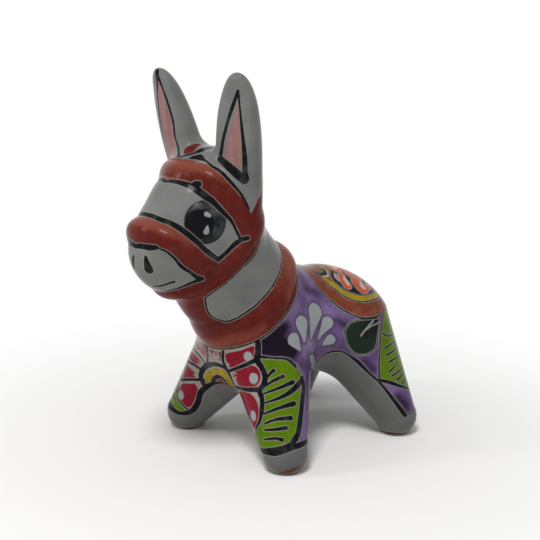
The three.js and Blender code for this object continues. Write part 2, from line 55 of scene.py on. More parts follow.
# Colours of the glazes
GREY, GREY_SHADE = rgb("797a77"), rgb("676866")
# The thin red serves both for thin glaze and for painted light on the halter's upper faces
RED, RED_DEEP, RED_THIN_AND_LIT = rgb("5e1a15"), rgb("43120f"), rgb("8a4b3b")
BLACK, BLACK_THIN = rgb("0e0e12"), rgb("33343a")
PALE = rgb("8a8781")
PURPLE, PURPLE_DEEP, PURPLE_THIN = rgb("5a416d"), rgb("150c1c"), rgb("7c6590")
LILAC = rgb("8b7f92")
WHITE = rgb("8f9595")
LIME, LIME_DEEP = rgb("577604"), rgb("456004")
GREEN = rgb("1d2a20")
CRIMSON, PINK_WASH, PETAL = rgb("7c1024"), rgb("84404a"), rgb("908a80")
YELLOW, YELLOW_DEEP = rgb("998304"), rgb("7c6a06")
TERRACOTTA, TERRACOTTA_THIN = rgb("703524"), rgb("834b38")
ORANGE, PETAL_WHITE = rgb("bb4a2c"), rgb("b5a095")
PINK, PINK_DEEP = rgb("98726d"), rgb("86625f")
BARE_CLAY = rgb("57352b")
# A darker grey for the torso and legs: painted shade on the belly, the inner legs and the feet
SHADED_LEG_GREY, SHADED_LEG_GREY_DEEP = rgb("6b6c69"), rgb("5b5c5a")
IRIS, IRIS_DEEP = rgb("4c4d4f"), rgb("202124")
FLOOR = rgb("f8f7f6")
GLAZE_ROUGHNESS, GLAZE_GLOSS = 0.17, 0.07
WAVE_HEIGHT, WAVE_STRENGTH, BRUSH_WAVES = 0.0012, 0.35, 0.12
FILL_LIGHT = 0.42
FLOOR_REACH, FLOOR_FADE = 3.0, (0.05, 0.22)
BARE_HEIGHT, PALE_HEIGHT, BARE_UNEVEN = (0.0042, 0.0047), (0.0046, 0.0052), 0.006
FEATHER_SCALE, FEATHER_SPREAD, FEATHER_LEAST = 18, 11.0, -2.6

# Scale and detail of each noise
WOBBLE_GRAIN, BRUSH_GRAIN, CLOUD_GRAIN = (900, 2), (260, 3), (70, 2)
PINK_GRAIN, IRIS_GRAIN, SMEAR_GRAIN = (300, 3), (240, 4), (110, 4)

# Lamps: name, place, aim, width and height in metres, and power in watts
LAMPS = [
    ("softbox_top", (0.35, -0.5, 1.2), (0, 0, 0.06), (0.32, 0.32), 9.5),
    ("softbox_front", (-0.55, -1.0, 0.55), (0, 0, 0.08), (0.14, 0.5), 2.6),
]

# Sizes of the clay
WALL = 1.5
COARSE_CELL = 2.5
SKIN_SPLIT = 5
SKIN_CELL = COARSE_CELL / SKIN_SPLIT
SPACE_LOW, SPACE_COUNTS = np.array([-50.0, -90.0, -5.0]), np.array([41, 58, 70])
NEAR_SKIN = 1.7 * COARSE_CELL
SMOOTH_ROUNDS, SMOOTH_SHARE = 3, 0.6
BORDER_ROUNDS, BORDER_REACH, BORDER_SLOPE = 2, 0.45 * SKIN_CELL, 0.1
CHEST = np.array([0, -21, 51.0])
RUMP = CHEST + [0, 43, -2.6]
CHEST_RADIUS, RUMP_RADIUS, BARREL_WIDTH = 22, 21.5, 0.9
BACK = CHEST + [0, 15, 9.5]
BACK_END = BACK + [0, 20, -2]
BACK_RADIUS = 12
STANCE_WIDTH, STANCE_LENGTH = 66.5, 65.5
SHOULDER = CHEST + [10, -0.5, -8.5]
HAUNCH = RUMP + [15, -2.5, -1.4]
SHOULDER_RADIUS, HAUNCH_RADIUS = 18, 19.5
FRONT_FOOT_RADIUS, REAR_FOOT_RADIUS = 9.4, 9.2
FRONT_FOOT_TRIM, REAR_FOOT_TRIM = 2.2, 1.5
FRONT_FOOT = np.array([STANCE_WIDTH / 2, -STANCE_LENGTH / 2, FRONT_FOOT_RADIUS - FRONT_FOOT_TRIM])
REAR_FOOT = np.array([STANCE_WIDTH / 2, STANCE_LENGTH / 2, REAR_FOOT_RADIUS - REAR_FOOT_TRIM])
FRONT_LEG_SEAM, REAR_LEG_SEAM = 0.4, 0.55
BACK_BLEND, LEG_BLEND, NECK_BLEND, HEAD_BLEND, CREST_BLEND = 10, 12, 10, 10, 8
JAW_BLEND, EAR_BLEND = 6, 5


def uphill(degrees):
    """The direction that rises forwards at an angle."""
    return np.array([0, -np.cos(np.radians(degrees)), np.sin(np.radians(degrees))])


WITHERS = CHEST + [0, 5.5, 5.5]
NECK_SLOPE, NECK_LENGTH = 47.5, 40
NECK_UP = uphill(NECK_SLOPE)
NECK_TOP = WITHERS + NECK_LENGTH * NECK_UP
WITHERS_RADIUS, NECK_TOP_RADIUS, NECK_WIDTH = 21.8, 23.5, 0.94
THROAT_SLOPE, THROAT_LENGTH, THROAT_RADIUS = 39.7, 15.6, 12.2
THROAT = NECK_TOP - [0, 0, 17.5]
THROAT_END = THROAT - THROAT_LENGTH * uphill(THROAT_SLOPE)
SKULL = NECK_TOP + [0, -1, 10]
BROW = SKULL + [0, -8, 9.5]
MUZZLE = SKULL + [0, -19, -5]
BRIDGE_DROP = 5.7
BRIDGE = (SKULL + BROW) / 2 + BRIDGE_DROP * uphill(-45)
CREST = SKULL + [9, 1.5, 22]
SKULL_RADIUS, BRIDGE_RADIUS, MUZZLE_RADIUS, MUZZLE_WIDTH, CREST_RADIUS = 18.8, 15.8, 18.2, 0.96, 12


def roll(p, start, end, start_radius, end_radius, width=1.0):
    """Signed distance to a tapered roll of clay between two balls, narrowed across X."""
    scale = np.array([width, 1, 1])
    start, run, p = start / scale, (end - start) / scale, p / scale
    along = np.clip((p - start) @ run / (run @ run), 0, 1)
    off = np.linalg.norm(p - start - along[:, None] * run, axis=1)
    return off - (start_radius + (end_radius - start_radius) * along)


def blend(a, b, size):
    """Joins two fields with a smoothed fillet."""
    overlap = np.maximum(size - np.abs(a - b), 0) / size
    return np.minimum(a, b) - overlap * overlap * size * 0.25


def body_clay(p):
    """The donkey without its halter, eyes, ears and tail; p has X mirrored to the left side."""
    d = roll(p, CHEST, RUMP, CHEST_RADIUS, RUMP_RADIUS, BARREL_WIDTH)
    d = blend(d, roll(p, BACK, BACK_END, BACK_RADIUS, BACK_RADIUS), BACK_BLEND)
    mirror = p * [-1, 1, 1]
    for q in (p, mirror):
        d = blend(d, roll(q, SHOULDER, FRONT_FOOT, SHOULDER_RADIUS, FRONT_FOOT_RADIUS), LEG_BLEND)
    for q in (p, mirror):
        d = blend(d, roll(q, HAUNCH, REAR_FOOT, HAUNCH_RADIUS, REAR_FOOT_RADIUS), LEG_BLEND)
    neck = roll(p, WITHERS, NECK_TOP, WITHERS_RADIUS, NECK_TOP_RADIUS, NECK_WIDTH)
    throat = roll(p, THROAT, THROAT_END, THROAT_RADIUS, THROAT_RADIUS, NECK_WIDTH)
    d = blend(d, blend(neck, throat, NECK_BLEND), NECK_BLEND)
    skull = roll(p, SKULL, BROW, SKULL_RADIUS, SKULL_RADIUS)
    muzzle = roll(p, BRIDGE, MUZZLE, BRIDGE_RADIUS, MUZZLE_RADIUS, MUZZLE_WIDTH)
    crest = roll(p, CREST * [-1, 1, 1], CREST, CREST_RADIUS, CREST_RADIUS)
    head = blend(blend(skull, muzzle, HEAD_BLEND), crest, CREST_BLEND)
    return blend(d, head, JAW_BLEND)


class Plane:
    """A plane that holds a strap, tilted up towards the tail."""

    def __init__(self, centre, degrees, back=0.0, up=0.0):
        angle = np.radians(degrees)
        self.up = np.array([0, -np.sin(angle), np.cos(angle)])
        self.back = np.array([0, np.cos(angle), np.sin(angle)])
        self.centre = centre + back * self.back + up * self.up

    def across(self, p, dip=0.0):
        """Distance from the plane, which dips towards the sides."""
        q = p - self.centre
        side = q[:, 0] ** 2
        return q @ self.up + dip * side / (side + (q @ self.back) ** 2 + 1e-6)

    def behind(self, p):
        """Where a point lies round the strap: 1 at its back, -1 at its front."""
        q = p - self.centre
        back = q @ self.back
        return back / np.sqrt(q[:, 0] ** 2 + back ** 2 + 1e-6)


COLLAR_RISE, LATCH_RISE = 18.3, 5.8
COLLAR = Plane(WITHERS + COLLAR_RISE * NECK_UP, 39)
LATCH = Plane(NECK_TOP + LATCH_RISE * NECK_UP, 42)
NOSE = Plane(MUZZLE, -38.7, back=26, up=-2)
FOREHEAD = Plane(BROW, -59, back=11.4, up=2.5)
COLLAR_WIDTH, LATCH_WIDTH, NOSE_WIDTH, FOREHEAD_WIDTH = 13.5, 10, 11, 12
COLLAR_DIP, FOREHEAD_BOW = 2.5, 2.0
COLLAR_HEIGHT, COLLAR_FRONT_HEIGHT, ROLL_HEIGHT, LATCH_HEIGHT = 2.6, 1.0, 2.2, 1.76
STRAP_START = 7
BOW_OVERRUN = 0.35
LUMP_POWER, RELIEF_POWER = 1.25, 4
EYE = np.array([17.9, -59.9, 103.7])
EYE_RADIUS, EYE_HEIGHT = 8.8, 1.5
TAIL_START = RUMP - [0, 0, RUMP_RADIUS / 2]
TAIL_TOP, TAIL_BOTTOM, TAIL_WIDTH, TAIL_HEIGHT = 25, -35, 7, 3.3


def smooth(low, high, value):
    t = np.clip((value - low) / (high - low), 0, 1)
    return t * t * (3 - 2 * t)


def lump(offset, half_width, height):
    """The height of a rounded roll with feathered edges."""
    return height * np.clip(1 - (offset / half_width) ** 2, 0, None) ** LUMP_POWER


def forehead_across(p):
    """Distance across the browband, which bows forwards over each eye."""
    q = p - FOREHEAD.centre
    angle = np.arctan2(q @ FOREHEAD.back, np.abs(q[:, 0])) + np.pi / 2
    bow = np.sin(np.clip(angle / (np.pi / 2 + BOW_OVERRUN), 0, 1) * np.pi)
    return q @ FOREHEAD.up - FOREHEAD_BOW * bow


def straps(p):
    """Heights of the collar, throatlatch, noseband and browband above the clay."""
    ahead = smooth(0, STRAP_START, LATCH.across(p))
    front = ((1 - COLLAR.behind(p)) / 2) ** 2
    collar_height = COLLAR_HEIGHT + (COLLAR_FRONT_HEIGHT - COLLAR_HEIGHT) * front
    return [
        lump(COLLAR.across(p, COLLAR_DIP), COLLAR_WIDTH / 2, collar_height),
        lump(LATCH.across(p), LATCH_WIDTH / 2, LATCH_HEIGHT),
        lump(NOSE.across(p), NOSE_WIDTH / 2, ROLL_HEIGHT) * ahead,
        lump(forehead_across(p), FOREHEAD_WIDTH / 2, ROLL_HEIGHT) * ahead,
    ]


def tail_place(p):
    """How far down the tail a point is, from 0 to 1."""
    q = p - TAIL_START
    angle = np.degrees(np.arctan2(q[:, 2], q[:, 1]))
    return (TAIL_TOP - angle) / (TAIL_TOP - TAIL_BOTTOM)


def relief(p):
    """Height of everything that is laid on the clay."""
    eye = lump(np.linalg.norm(p - EYE, axis=1), EYE_RADIUS, EYE_HEIGHT)
    t = tail_place(p)
    tail = lump(p[:, 0], TAIL_WIDTH / 2, TAIL_HEIGHT) * np.sqrt(np.clip(4 * t * (1 - t), 0, 1))
    tail[p[:, 1] < RUMP[1]] = 0
    return sum(h ** RELIEF_POWER for h in [*straps(p), eye, tail]) ** (1 / RELIEF_POWER)


EAR_ROOT = np.array([12.5, CREST[1] + 2, CREST[2] - 16])
EAR_TIP = EAR_ROOT + [13.5, -10.5, 58]
EAR_LENGTH = np.linalg.norm(EAR_TIP - EAR_ROOT)
EAR_AXIS = (EAR_TIP - EAR_ROOT) / EAR_LENGTH
EAR_TURN = np.radians(10)
EAR_FRONT = np.array([np.sin(EAR_TURN), -np.cos(EAR_TURN), 0])
EAR_FRONT = EAR_FRONT - (EAR_FRONT @ EAR_AXIS) * EAR_AXIS
EAR_FRONT /= np.linalg.norm(EAR_FRONT)
EAR_ACROSS = np.cross(EAR_FRONT, EAR_AXIS)
EAR_HALF_WIDTH, EAR_FRONT_DEPTH, EAR_BACK_DEPTH, EAR_DISH = 10.4, 6.1, 9.0, 1.6
EAR_BLUNTNESS, EAR_FOOT = 4.3, 4
EAR_DISH_HALF_WIDTH, EAR_DISH_EDGE = 0.8 * EAR_HALF_WIDTH, 3
EAR_DISH_START, EAR_DISH_END = (0.2, 0.4), (0.85, 1.0)
INSET, SOLE_EDGE = 0.06, 1.6


def ear_place(p):
    """Where a point is on an ear: across it, out in front of its middle, and up it as a share."""
    q = p - EAR_ROOT
    return q @ EAR_ACROSS, q @ EAR_FRONT, q @ EAR_AXIS / EAR_LENGTH


def ear(p):
    """An upright leaf of clay, round behind and dished in front."""
    wide, deep, t = ear_place(p)
    depth = np.where(deep > 0, EAR_FRONT_DEPTH, EAR_BACK_DEPTH)
    upper = np.abs(t) ** EAR_BLUNTNESS
    length = np.where(t > 0, upper, (EAR_FOOT * t) ** 2)
    full = (wide / EAR_HALF_WIDTH) ** 2 + (deep / depth) ** 2 + length
    tip_rise = EAR_BLUNTNESS * upper / np.maximum(np.abs(t), 1e-3)
    rise = np.where(t > 0, tip_rise, 2 * EAR_FOOT ** 2 * t) / EAR_LENGTH
    spread = (2 * wide / EAR_HALF_WIDTH ** 2) ** 2 + (2 * deep / depth ** 2) ** 2
    slope = 0.5 * np.sqrt(spread + rise ** 2)
    k = np.sqrt(full)
    distance = k * (k - 1) / np.maximum(slope, 1e-3)
    dish = np.clip(1 - (wide / EAR_DISH_HALF_WIDTH) ** 2, 0, 1) * smooth(0, EAR_DISH_EDGE, deep)
    return distance + EAR_DISH * dish * smooth(*EAR_DISH_START, t) * (1 - smooth(*EAR_DISH_END, t))


def left(p):
    """The same point on the left side."""
    return np.abs(p) * [1, 0, 0] + p * [0, 1, 1]


def skin(p):
    """The glazed outside: negative inside the donkey, which is flat under its feet."""
    q = left(p)
    clay = blend(body_clay(q) - relief(q), ear(q), EAR_BLEND) + INSET
    return -blend(-clay, p[:, 2], SOLE_EDGE)


def gradient(field, p, step=0.05):
    columns = [field(p + step * axis) - field(p - step * axis) for axis in np.eye(3)]
    return np.stack(columns, axis=1) / (2 * step)


def settle(p, rounds=3):
    """Moves points on to the skin and gives the skin's directions there."""
    for _ in range(rounds):
        slope = gradient(skin, p)
        p = p - (skin(p) / (slope ** 2).sum(1))[:, None] * slope
    normal = gradient(skin, p)
    return p, normal / np.linalg.norm(normal, axis=1, keepdims=True)


def skin_mesh():
    """A fine closed mesh of the skin: one vertex in each small cell that it crosses."""
    axes = [SPACE_LOW[i] + np.arange(SPACE_COUNTS[i]) * COARSE_CELL for i in range(3)]
    points = np.stack(np.meshgrid(*axes, indexing="ij"), axis=-1)
    value = skin(points.reshape(-1, 3)).reshape(SPACE_COUNTS)
    near = np.abs(value) < NEAR_SKIN
    corners = [(a, b, c) for a in (0, 1) for b in (0, 1) for c in (0, 1)]

    def window(array, a, b, c):
        n = np.array(array.shape) - 1
        return array[a:a + n[0], b:b + n[1], c:c + n[2]]

    active = np.any([window(near, *corner) for corner in corners], axis=0)
    inside = window(value, 0, 0, 0) < 0
    for axis in range(3):
        active = np.repeat(active, SKIN_SPLIT, axis=axis)
        inside = np.repeat(inside, SKIN_SPLIT, axis=axis)
    inside[active] = skin(SPACE_LOW + np.argwhere(active) * SKIN_CELL) < 0

    total = sum(window(inside, *corner).astype(np.int8) for corner in corners)
    crossed = (total > 0) & (total < 8)
    ids = np.full(crossed.shape, -1, np.int32)
    ids[crossed] = np.arange(crossed.sum())
    vertices = SPACE_LOW + (np.argwhere(crossed) + 0.5) * SKIN_CELL
    quads = []
    for axis in range(3):
        one, other = (axis + 1) % 3, (axis + 2) % 3
        step = np.eye(3, dtype=int)
        n = inside.shape
        first = inside.take(range(n[axis] - 1), axis)
        second = inside.take(range(1, n[axis]), axis)
        edge = np.argwhere(first != second)
        flip = first[first != second]
        ring = [edge - step[one] - step[other], edge - step[other], edge, edge - step[one]]
        quad = np.stack([ids[tuple(r.T)] for r in ring], axis=1)
        quad[~flip] = quad[~flip][:, ::-1]
        quads.append(quad)
    quads = np.concatenate(quads)
    vertices, _ = settle(vertices)
    for _ in range(SMOOTH_ROUNDS):
        pairs = np.concatenate([quads[:, [i, (i + 1) % 4]] for i in range(4)])
        count = np.bincount(pairs[:, 0], minlength=len(vertices))
        mean = [np.bincount(pairs[:, 0], vertices[pairs[:, 1], k], len(vertices)) for k in range(3)]
        mean = np.stack(mean, axis=1) / count[:, None]
        vertices, normals = settle(vertices + SMOOTH_SHARE * (mean - vertices), 1)
    return vertices, normals, quads


def leg_part(p, side, front):
    """Negative inside a leg's piece of clay, as the next functions are inside theirs."""
    top, foot = (SHOULDER, FRONT_FOOT) if front else (HAUNCH, REAR_FOOT)
    mirror = np.array([side, 1, 1])
    top, foot = top * mirror, foot * mirror
    down = (foot - top) / np.linalg.norm(foot - top)
    seam = top + (foot - top) * (FRONT_LEG_SEAM if front else REAR_LEG_SEAM)
    q = p - seam
    off = np.linalg.norm(q - (q @ down)[:, None] * down, axis=1)
    return np.maximum(-(q @ down), off - SHOULDER_RADIUS - LEG_BLEND)


def ear_part(p, side):
    q = left(p)
    crossing = ear(q) - body_clay(q) + relief(q)
    return np.maximum(crossing, -side * p[:, 0])


def eye_part(p, side):
    return np.maximum(np.linalg.norm(left(p) - EYE, axis=1) - EYE_RADIUS, -side * p[:, 0])


def tail_part(p):
    t = tail_place(p)
    ends = (np.abs(t - 0.5) - 0.5) * RUMP_RADIUS
    return np.maximum(np.maximum(np.abs(p[:, 0]) - TAIL_WIDTH / 2, ends), RUMP[1] - p[:, 1])


def arch_part(p, across, width):
    return np.maximum(np.abs(across(p)) - width / 2, LATCH_WIDTH / 2 - LATCH.across(p))


# Each piece's name, its glaze and where it lies. Earlier pieces win over later ones.
PARTS = [
    ("left_eye", "eye_glaze", lambda p: eye_part(p, 1)),
    ("right_eye", "eye_glaze", lambda p: eye_part(p, -1)),
    ("left_ear", "grey_glaze", lambda p: ear_part(p, 1)),
    ("right_ear", "grey_glaze", lambda p: ear_part(p, -1)),
    ("collar", "halter_glaze", lambda p: np.abs(COLLAR.across(p, COLLAR_DIP)) - COLLAR_WIDTH / 2),
    ("throatlatch", "halter_glaze", lambda p: np.abs(LATCH.across(p)) - LATCH_WIDTH / 2),
    ("browband", "halter_glaze", lambda p: arch_part(p, forehead_across, FOREHEAD_WIDTH)),
    ("noseband", "halter_glaze", lambda p: arch_part(p, NOSE.across, NOSE_WIDTH)),
    ("tail", "grey_glaze", tail_part),
    ("front_left_leg", "painted_glaze", lambda p: leg_part(p, 1, True)),
    ("front_right_leg", "painted_glaze", lambda p: leg_part(p, -1, True)),
    ("rear_left_leg", "painted_glaze", lambda p: leg_part(p, 1, False)),
    ("rear_right_leg", "painted_glaze", lambda p: leg_part(p, -1, False)),
    ("torso", "painted_glaze", lambda p: COLLAR.across(p, COLLAR_DIP)),
    ("neck", "grey_glaze", LATCH.across),
    ("head", "grey_glaze", lambda p: np.full(len(p), -1.0)),
]


def divide(vertices, normals, quads):
    """Gives each face its piece of clay, and moves the border vertices on to the border."""
    centres = vertices[quads].mean(axis=1)
    owner = np.full(len(quads), -1)
    for number, (_, _, part) in enumerate(PARTS):
        free = np.flatnonzero(owner < 0)
        owner[free[part(centres[free]) < 0]] = number
    lowest = np.full(len(vertices), len(PARTS))
    highest = np.full(len(vertices), -1)
    for k in range(4):
        np.minimum.at(lowest, quads[:, k], owner)
        np.maximum.at(highest, quads[:, k], owner)
    for number, (_, _, part) in enumerate(PARTS):
        border = np.flatnonzero((lowest == number) & (highest > number))
        for _ in range(BORDER_ROUNDS):
            if len(border):
                p, n = vertices[border], normals[border]
                slope = gradient(part, p)
                slope -= (slope * n).sum(1)[:, None] * n
                move = -(part(p) / np.maximum((slope ** 2).sum(1), BORDER_SLOPE))[:, None] * slope
                reach = np.linalg.norm(move, axis=1, keepdims=True)
                move *= np.minimum(1, BORDER_REACH / np.maximum(reach, 1e-6))
                vertices[border], normals[border] = settle(p + move, 1)
    return owner


# The photograph's camera: where it looks, from which side, and how wide it sees
PHOTO_SIZE = 540
FOCAL_PIXELS = 1100
CAMERA_TURN, CAMERA_RISE = np.radians(49.5), np.radians(13.0)
CAMERA_AIM = np.array([0, -12.48, 74.70])
CAMERA_DISTANCE = 470.1
BACKWARD = np.array([
    np.sin(CAMERA_TURN) * np.cos(CAMERA_RISE),
    -np.cos(CAMERA_TURN) * np.cos(CAMERA_RISE),
    np.sin(CAMERA_RISE),
])
RIGHTWARD = np.array([np.cos(CAMERA_TURN), np.sin(CAMERA_TURN), 0])
UPWARD = np.cross(BACKWARD, RIGHTWARD)
CAMERA_PLACE = CAMERA_AIM + CAMERA_DISTANCE * BACKWARD
PIXEL = CAMERA_DISTANCE / FOCAL_PIXELS
NEAREST_CLAY = 110.0
RAY_STEPS, RAY_STRIDE, RAY_END = 70, 0.75, 0.05

# Brushwork. Marks are pixels of the photograph (u, v) or, where it doesn't show them, places in
# millimetres (x, y, z). Widths are in pixels, and are spread evenly over the marks.
CURVE_STEP = 0.8
FAR = 3.0
FLOOD_LINE = 1.5 * SKIN_CELL
EDGE_ON = 0.15
FACE_END, EYE_MARGIN, PUPIL_WIDTH = -40, 0.3, 27
PINK_DEPTH = 0.8
BROW_EDGE, SEAM_OVERLAP = 4.0, 0.1
POLL_BACK, POLL_START, POLL_END, POLL_SLOPE = 13.4, 8.6, 11.3, 0.5
EAR_FOOT_TOP, EAR_FOOT_DROP = 19, 15
# Painted light on the halter: how far a face turns up before its red is painted lighter, and how quickly
LIT_TOP_FACING, LIT_TOP_SPREAD = 0.5, 4
COLLAR_LINE, COAT_LINE = 0.3, 0.28
COAT_INSIDE = (20, 0, 60)
FLOWER_MIDDLE = np.array([-3, -34, 32.0])


def on_skin(marks):
    """The points on the skin that a list of marks stands for."""
    places = np.array([mark if len(mark) == 3 else (0, 0, 0) for mark in marks], float)
    seen = [number for number, mark in enumerate(marks) if len(mark) == 2]
    if seen:
        pixels = np.array([marks[number] for number in seen], float) - PHOTO_SIZE / 2
        rays = (pixels[:, :1] * RIGHTWARD - pixels[:, 1:] * UPWARD) / FOCAL_PIXELS - BACKWARD
        rays /= np.linalg.norm(rays, axis=1, keepdims=True)
        reach = np.full(len(seen), CAMERA_DISTANCE - NEAREST_CLAY)
        best, best_reach = np.full(len(seen), 1e9), reach.copy()
        for _ in range(RAY_STEPS):
            gap = skin(CAMERA_PLACE + reach[:, None] * rays)
            closer = (gap < best) & (best > RAY_END)
            best[closer], best_reach[closer] = gap[closer], reach[closer]
            reach = reach + np.where(best > RAY_END, RAY_STRIDE * gap, 0)
        places[seen] = CAMERA_PLACE + best_reach[:, None] * rays
    return settle(places, 4)[0]


class Curve:
    """A line on the skin through marks. A mark written twice makes a corner."""

    def __init__(self, marks, widths=1.0, closed=False):
        marks = list(marks)
        if closed:
            marks.append(marks[0])
        ends = on_skin(marks)
        widths = np.atleast_1d(widths)
        along, spread = np.linspace(0, 1, len(marks)), np.linspace(0, 1, len(widths))
        half = np.interp(along, spread, widths) * PIXEL / 2
        before, after = (ends[-2], ends[1]) if closed else (ends[0], ends[-1])
        path = np.concatenate([[before], ends, [after]])
        points, halves = [], []
        for i in range(len(ends) - 1):
            a, b, c, d = path[i:i + 4]
            count = max(1, int(np.ceil(np.linalg.norm(c - b) / CURVE_STEP)))
            if np.linalg.norm(c - b) < 1e-3:
                continue
            t = np.arange(count)[:, None] / count
            bend = 2 * a - 5 * b + 4 * c - d
            twist = -a + 3 * b - 3 * c + d
            points.append(b + 0.5 * t * (c - a + t * (bend + t * twist)))
            halves.append(half[i] + (half[i + 1] - half[i]) * t[:, 0])
        points.append(ends[-1:])
        halves.append(half[-1:])
        self.points, self.normals = settle(np.concatenate(points), 2)
        self.halves = np.concatenate(halves)
        run = np.diff(self.points, axis=0)
        run /= np.linalg.norm(run, axis=1, keepdims=True) + 1e-9
        turn = run[-1] if closed else run[0]
        heading = np.concatenate([[turn], run]) + np.concatenate([run, [run[0] if closed else run[-1]]])
        self.sides = np.cross(self.normals, heading)
        if closed:
            middle = self.normals.mean(0)
            around = np.cross(self.points[:-1], self.points[1:]).sum(0) @ middle
            if around > 0:
                self.sides = -self.sides

    def nearest(self, spots, facing, stroke):
        """Distance from the stroke's edge, or the distance from the line with the sign of its side."""
        best = np.full(len(spots), 1e3)
        side = np.ones(len(spots))
        for i in range(len(self.points) - 1):
            a, run = self.points[i], self.points[i + 1] - self.points[i]
            t = np.clip((spots - a) @ run / (run @ run + 1e-12), 0, 1)
            off = spots - a - t[:, None] * run
            reach = np.sqrt((off ** 2).sum(1))
            if stroke:
                reach -= self.halves[i] + t * (self.halves[i + 1] - self.halves[i])
            reach[facing @ self.normals[i] < EDGE_ON] = 1e3
            closer = reach < best
            best[closer] = reach[closer]
            if not stroke:
                out = self.sides[i] + t[closer, None] * (self.sides[i + 1] - self.sides[i])
                side[closer] = np.sign((off[closer] * out).sum(1))
        return best * side


class Paint:
    """How far each vertex is from the edge of each colour, in millimetres: negative under the colour."""

    def __init__(self, vertices, normals, quads):
        self.sides = (vertices, normals), (left(vertices), normals * turned(vertices))
        self.links = np.concatenate([quads[:, [0, 1]], quads[:, [1, 2]]])
        self.fields = {}

    def put(self, name, field):
        self.fields[name] = np.minimum(self.fields.get(name, FAR), np.clip(field, -FAR, FAR))

    def near(self, curve, mirrored, margin):
        spots, facing = self.sides[mirrored]
        low, high = curve.points.min(0) - margin, curve.points.max(0) + margin
        index = np.flatnonzero(((spots > low) & (spots < high)).all(1))
        return index, spots[index], facing[index]

    def stroke(self, name, marks, widths, mirrored=True):
        curve = Curve(marks, widths)
        index, spots, facing = self.near(curve, mirrored, FAR + curve.halves.max())
        field = np.full(len(self.sides[0][0]), FAR)
        field[index] = curve.nearest(spots, facing, True)
        self.put(name, field)

    def fill(self, name, marks, mirrored=True):
        curve = Curve(marks, closed=True)
        index, spots, facing = self.near(curve, mirrored, 2 * FAR)
        field = np.full(len(self.sides[0][0]), FAR)
        field[index] = curve.nearest(spots, facing, False)
        self.put(name, field)

    def strokes(self, name, lines, mirrored=True):
        for marks, widths in lines:
            self.stroke(name, marks, widths, mirrored)

    def fills(self, name, shapes, mirrored=True):
        for marks in shapes:
            self.fill(name, marks, mirrored)

    def flood(self, name, marks, inside):
        """Fills the side of a line that holds a place, however far the colour runs."""
        curve = Curve(marks)
        index, spots, facing = self.near(curve, True, FAR)
        field = np.full(len(self.sides[0][0]), FAR)
        field[index] = curve.nearest(spots, facing, False)
        near = np.abs(field) < FLOOD_LINE
        a, b = self.links.T
        cut = near[a] & near[b] & (np.sign(field[a]) != np.sign(field[b]))
        group = components(len(field), self.links[~cut])
        seed = np.argmin(((self.sides[0][0] - inside) ** 2).sum(1))
        self.put(name, np.abs(field) * np.where(group == group[seed], -1, 1))


def turned(p):
    """Turns a direction to the left side with its point."""
    return np.where(p[:, :1] < 0, [-1, 1, 1], [1, 1, 1])


def components(count, links):
    """A number for each connected patch of the mesh."""
    group = np.arange(count)
    while True:
        a, b = group[links].T
        low = np.minimum(a, b)
        joined = group.copy()
        np.minimum.at(joined, a, low)
        np.minimum.at(joined, b, low)
        joined = joined[joined]
        joined = joined[joined]
        if (joined == group).all():
            return group
        group = joined


def paint_head(paint):
    """Grey windows in the red halter, and the black lines round them."""
    brow = [(240, 238), (236, 230), (232, 222), (226, 215), (219, 208), (212, 201), (205, 196),
            (197, 190), (190, 186), (180, 182.5), (170, 181), (160, 182.5), (155, 185)]
    bridge = [(140, 215), (150, 215.5), (160, 219.5), (170, 223), (180, 228.5), (190, 236.5),
              (200, 245.5), (210, 254), (218, 259.5)]
    cheek = [(219, 259), (225, 254), (230, 249), (235, 244), (241, 240)]
    paint.fill("window", bridge + bridge[-1:] + cheek + cheek[-1:] + brow)

    nose_top = [(-6, -79, 93)]
    lip = [(131, 247), (140, 246), (150, 247.5), (157, 247.5)]
    muzzle = [(160, 249), (167, 252), (175, 259), (182, 267), (190, 272), (197, 277), (202, 279)]
    jaw = [(202, 279), (195, 281.5), (185, 285.5), (175, 289.2), (168, 291), (162, 291.8), (-1, -71.5, 75)]
    chin = [(-6, -71, 76), (-7, -76, 80)]
    paint.fill("window", nose_top + lip + muzzle + jaw + chin)

    nape = [(262, 238), (258, 248), (255, 255), (248, 263), (240, 270), (232, 278), (225, 284),
            (215, 291), (205, 298)]
    throat = [(205, 298), (206, 305), (208, 312), (214, 318), (225, 321.5), (235, 319), (245, 313),
              (255, 306), (263, 298), (270, 290), (277, 278), (280, 270), (281.5, 258), (280, 250)]
    over_nape = [(6, -17, 91), (-8, -17, 91), (-8, -28.5, 101), (6, -28.5, 101)]
    paint.fill("window", nape + throat + over_nape)

    temple = [(248, 238)]
    brow_knob = [(195, 184), (199, 184)]
    mouth = [(152, 286.5), (160, 286), (170, 283), (174, 282)]
    behind_brow = [(199, 155), (205, 161), (212, 166), (220, 171), (228, 179), (236, 188), (243, 197),
                   (249, 209)]
    paint.strokes("ink", [
        (bridge, [4, 4.5, 5, 5, 5.5, 6, 6, 6.5, 5]),
        (cheek + temple, [4, 4, 4, 4.5, 4.5, 4]),
        (brow, [3, 2.5, 3, 4, 5, 6, 7, 7, 6, 5, 4, 3, 2]),
        (brow_knob, 5.5),
        (lip, [3, 5, 6, 4]),
        (muzzle, [2, 2.5, 3, 3.5, 3.5, 4.5, 4]),
        (jaw, [4, 3, 2.5, 2.5, 2.5, 2, 2]),
        (mouth, [1.5, 2.5, 2.5, 3]),
        (nape, 1.5),
        (throat, 1.8),
        (behind_brow, [3.5, 3.5, 3.5, 3.5, 3.5, 3, 2.5, 2]),
    ])
    left_nostril = [(145.5, 257), (148.5, 269)]
    right_nostril = [(133.5, 256.5), (133, 266)]
    paint.strokes("ink", [(left_nostril, [3, 10]), (right_nostril, [3.5, 7])], mirrored=False)


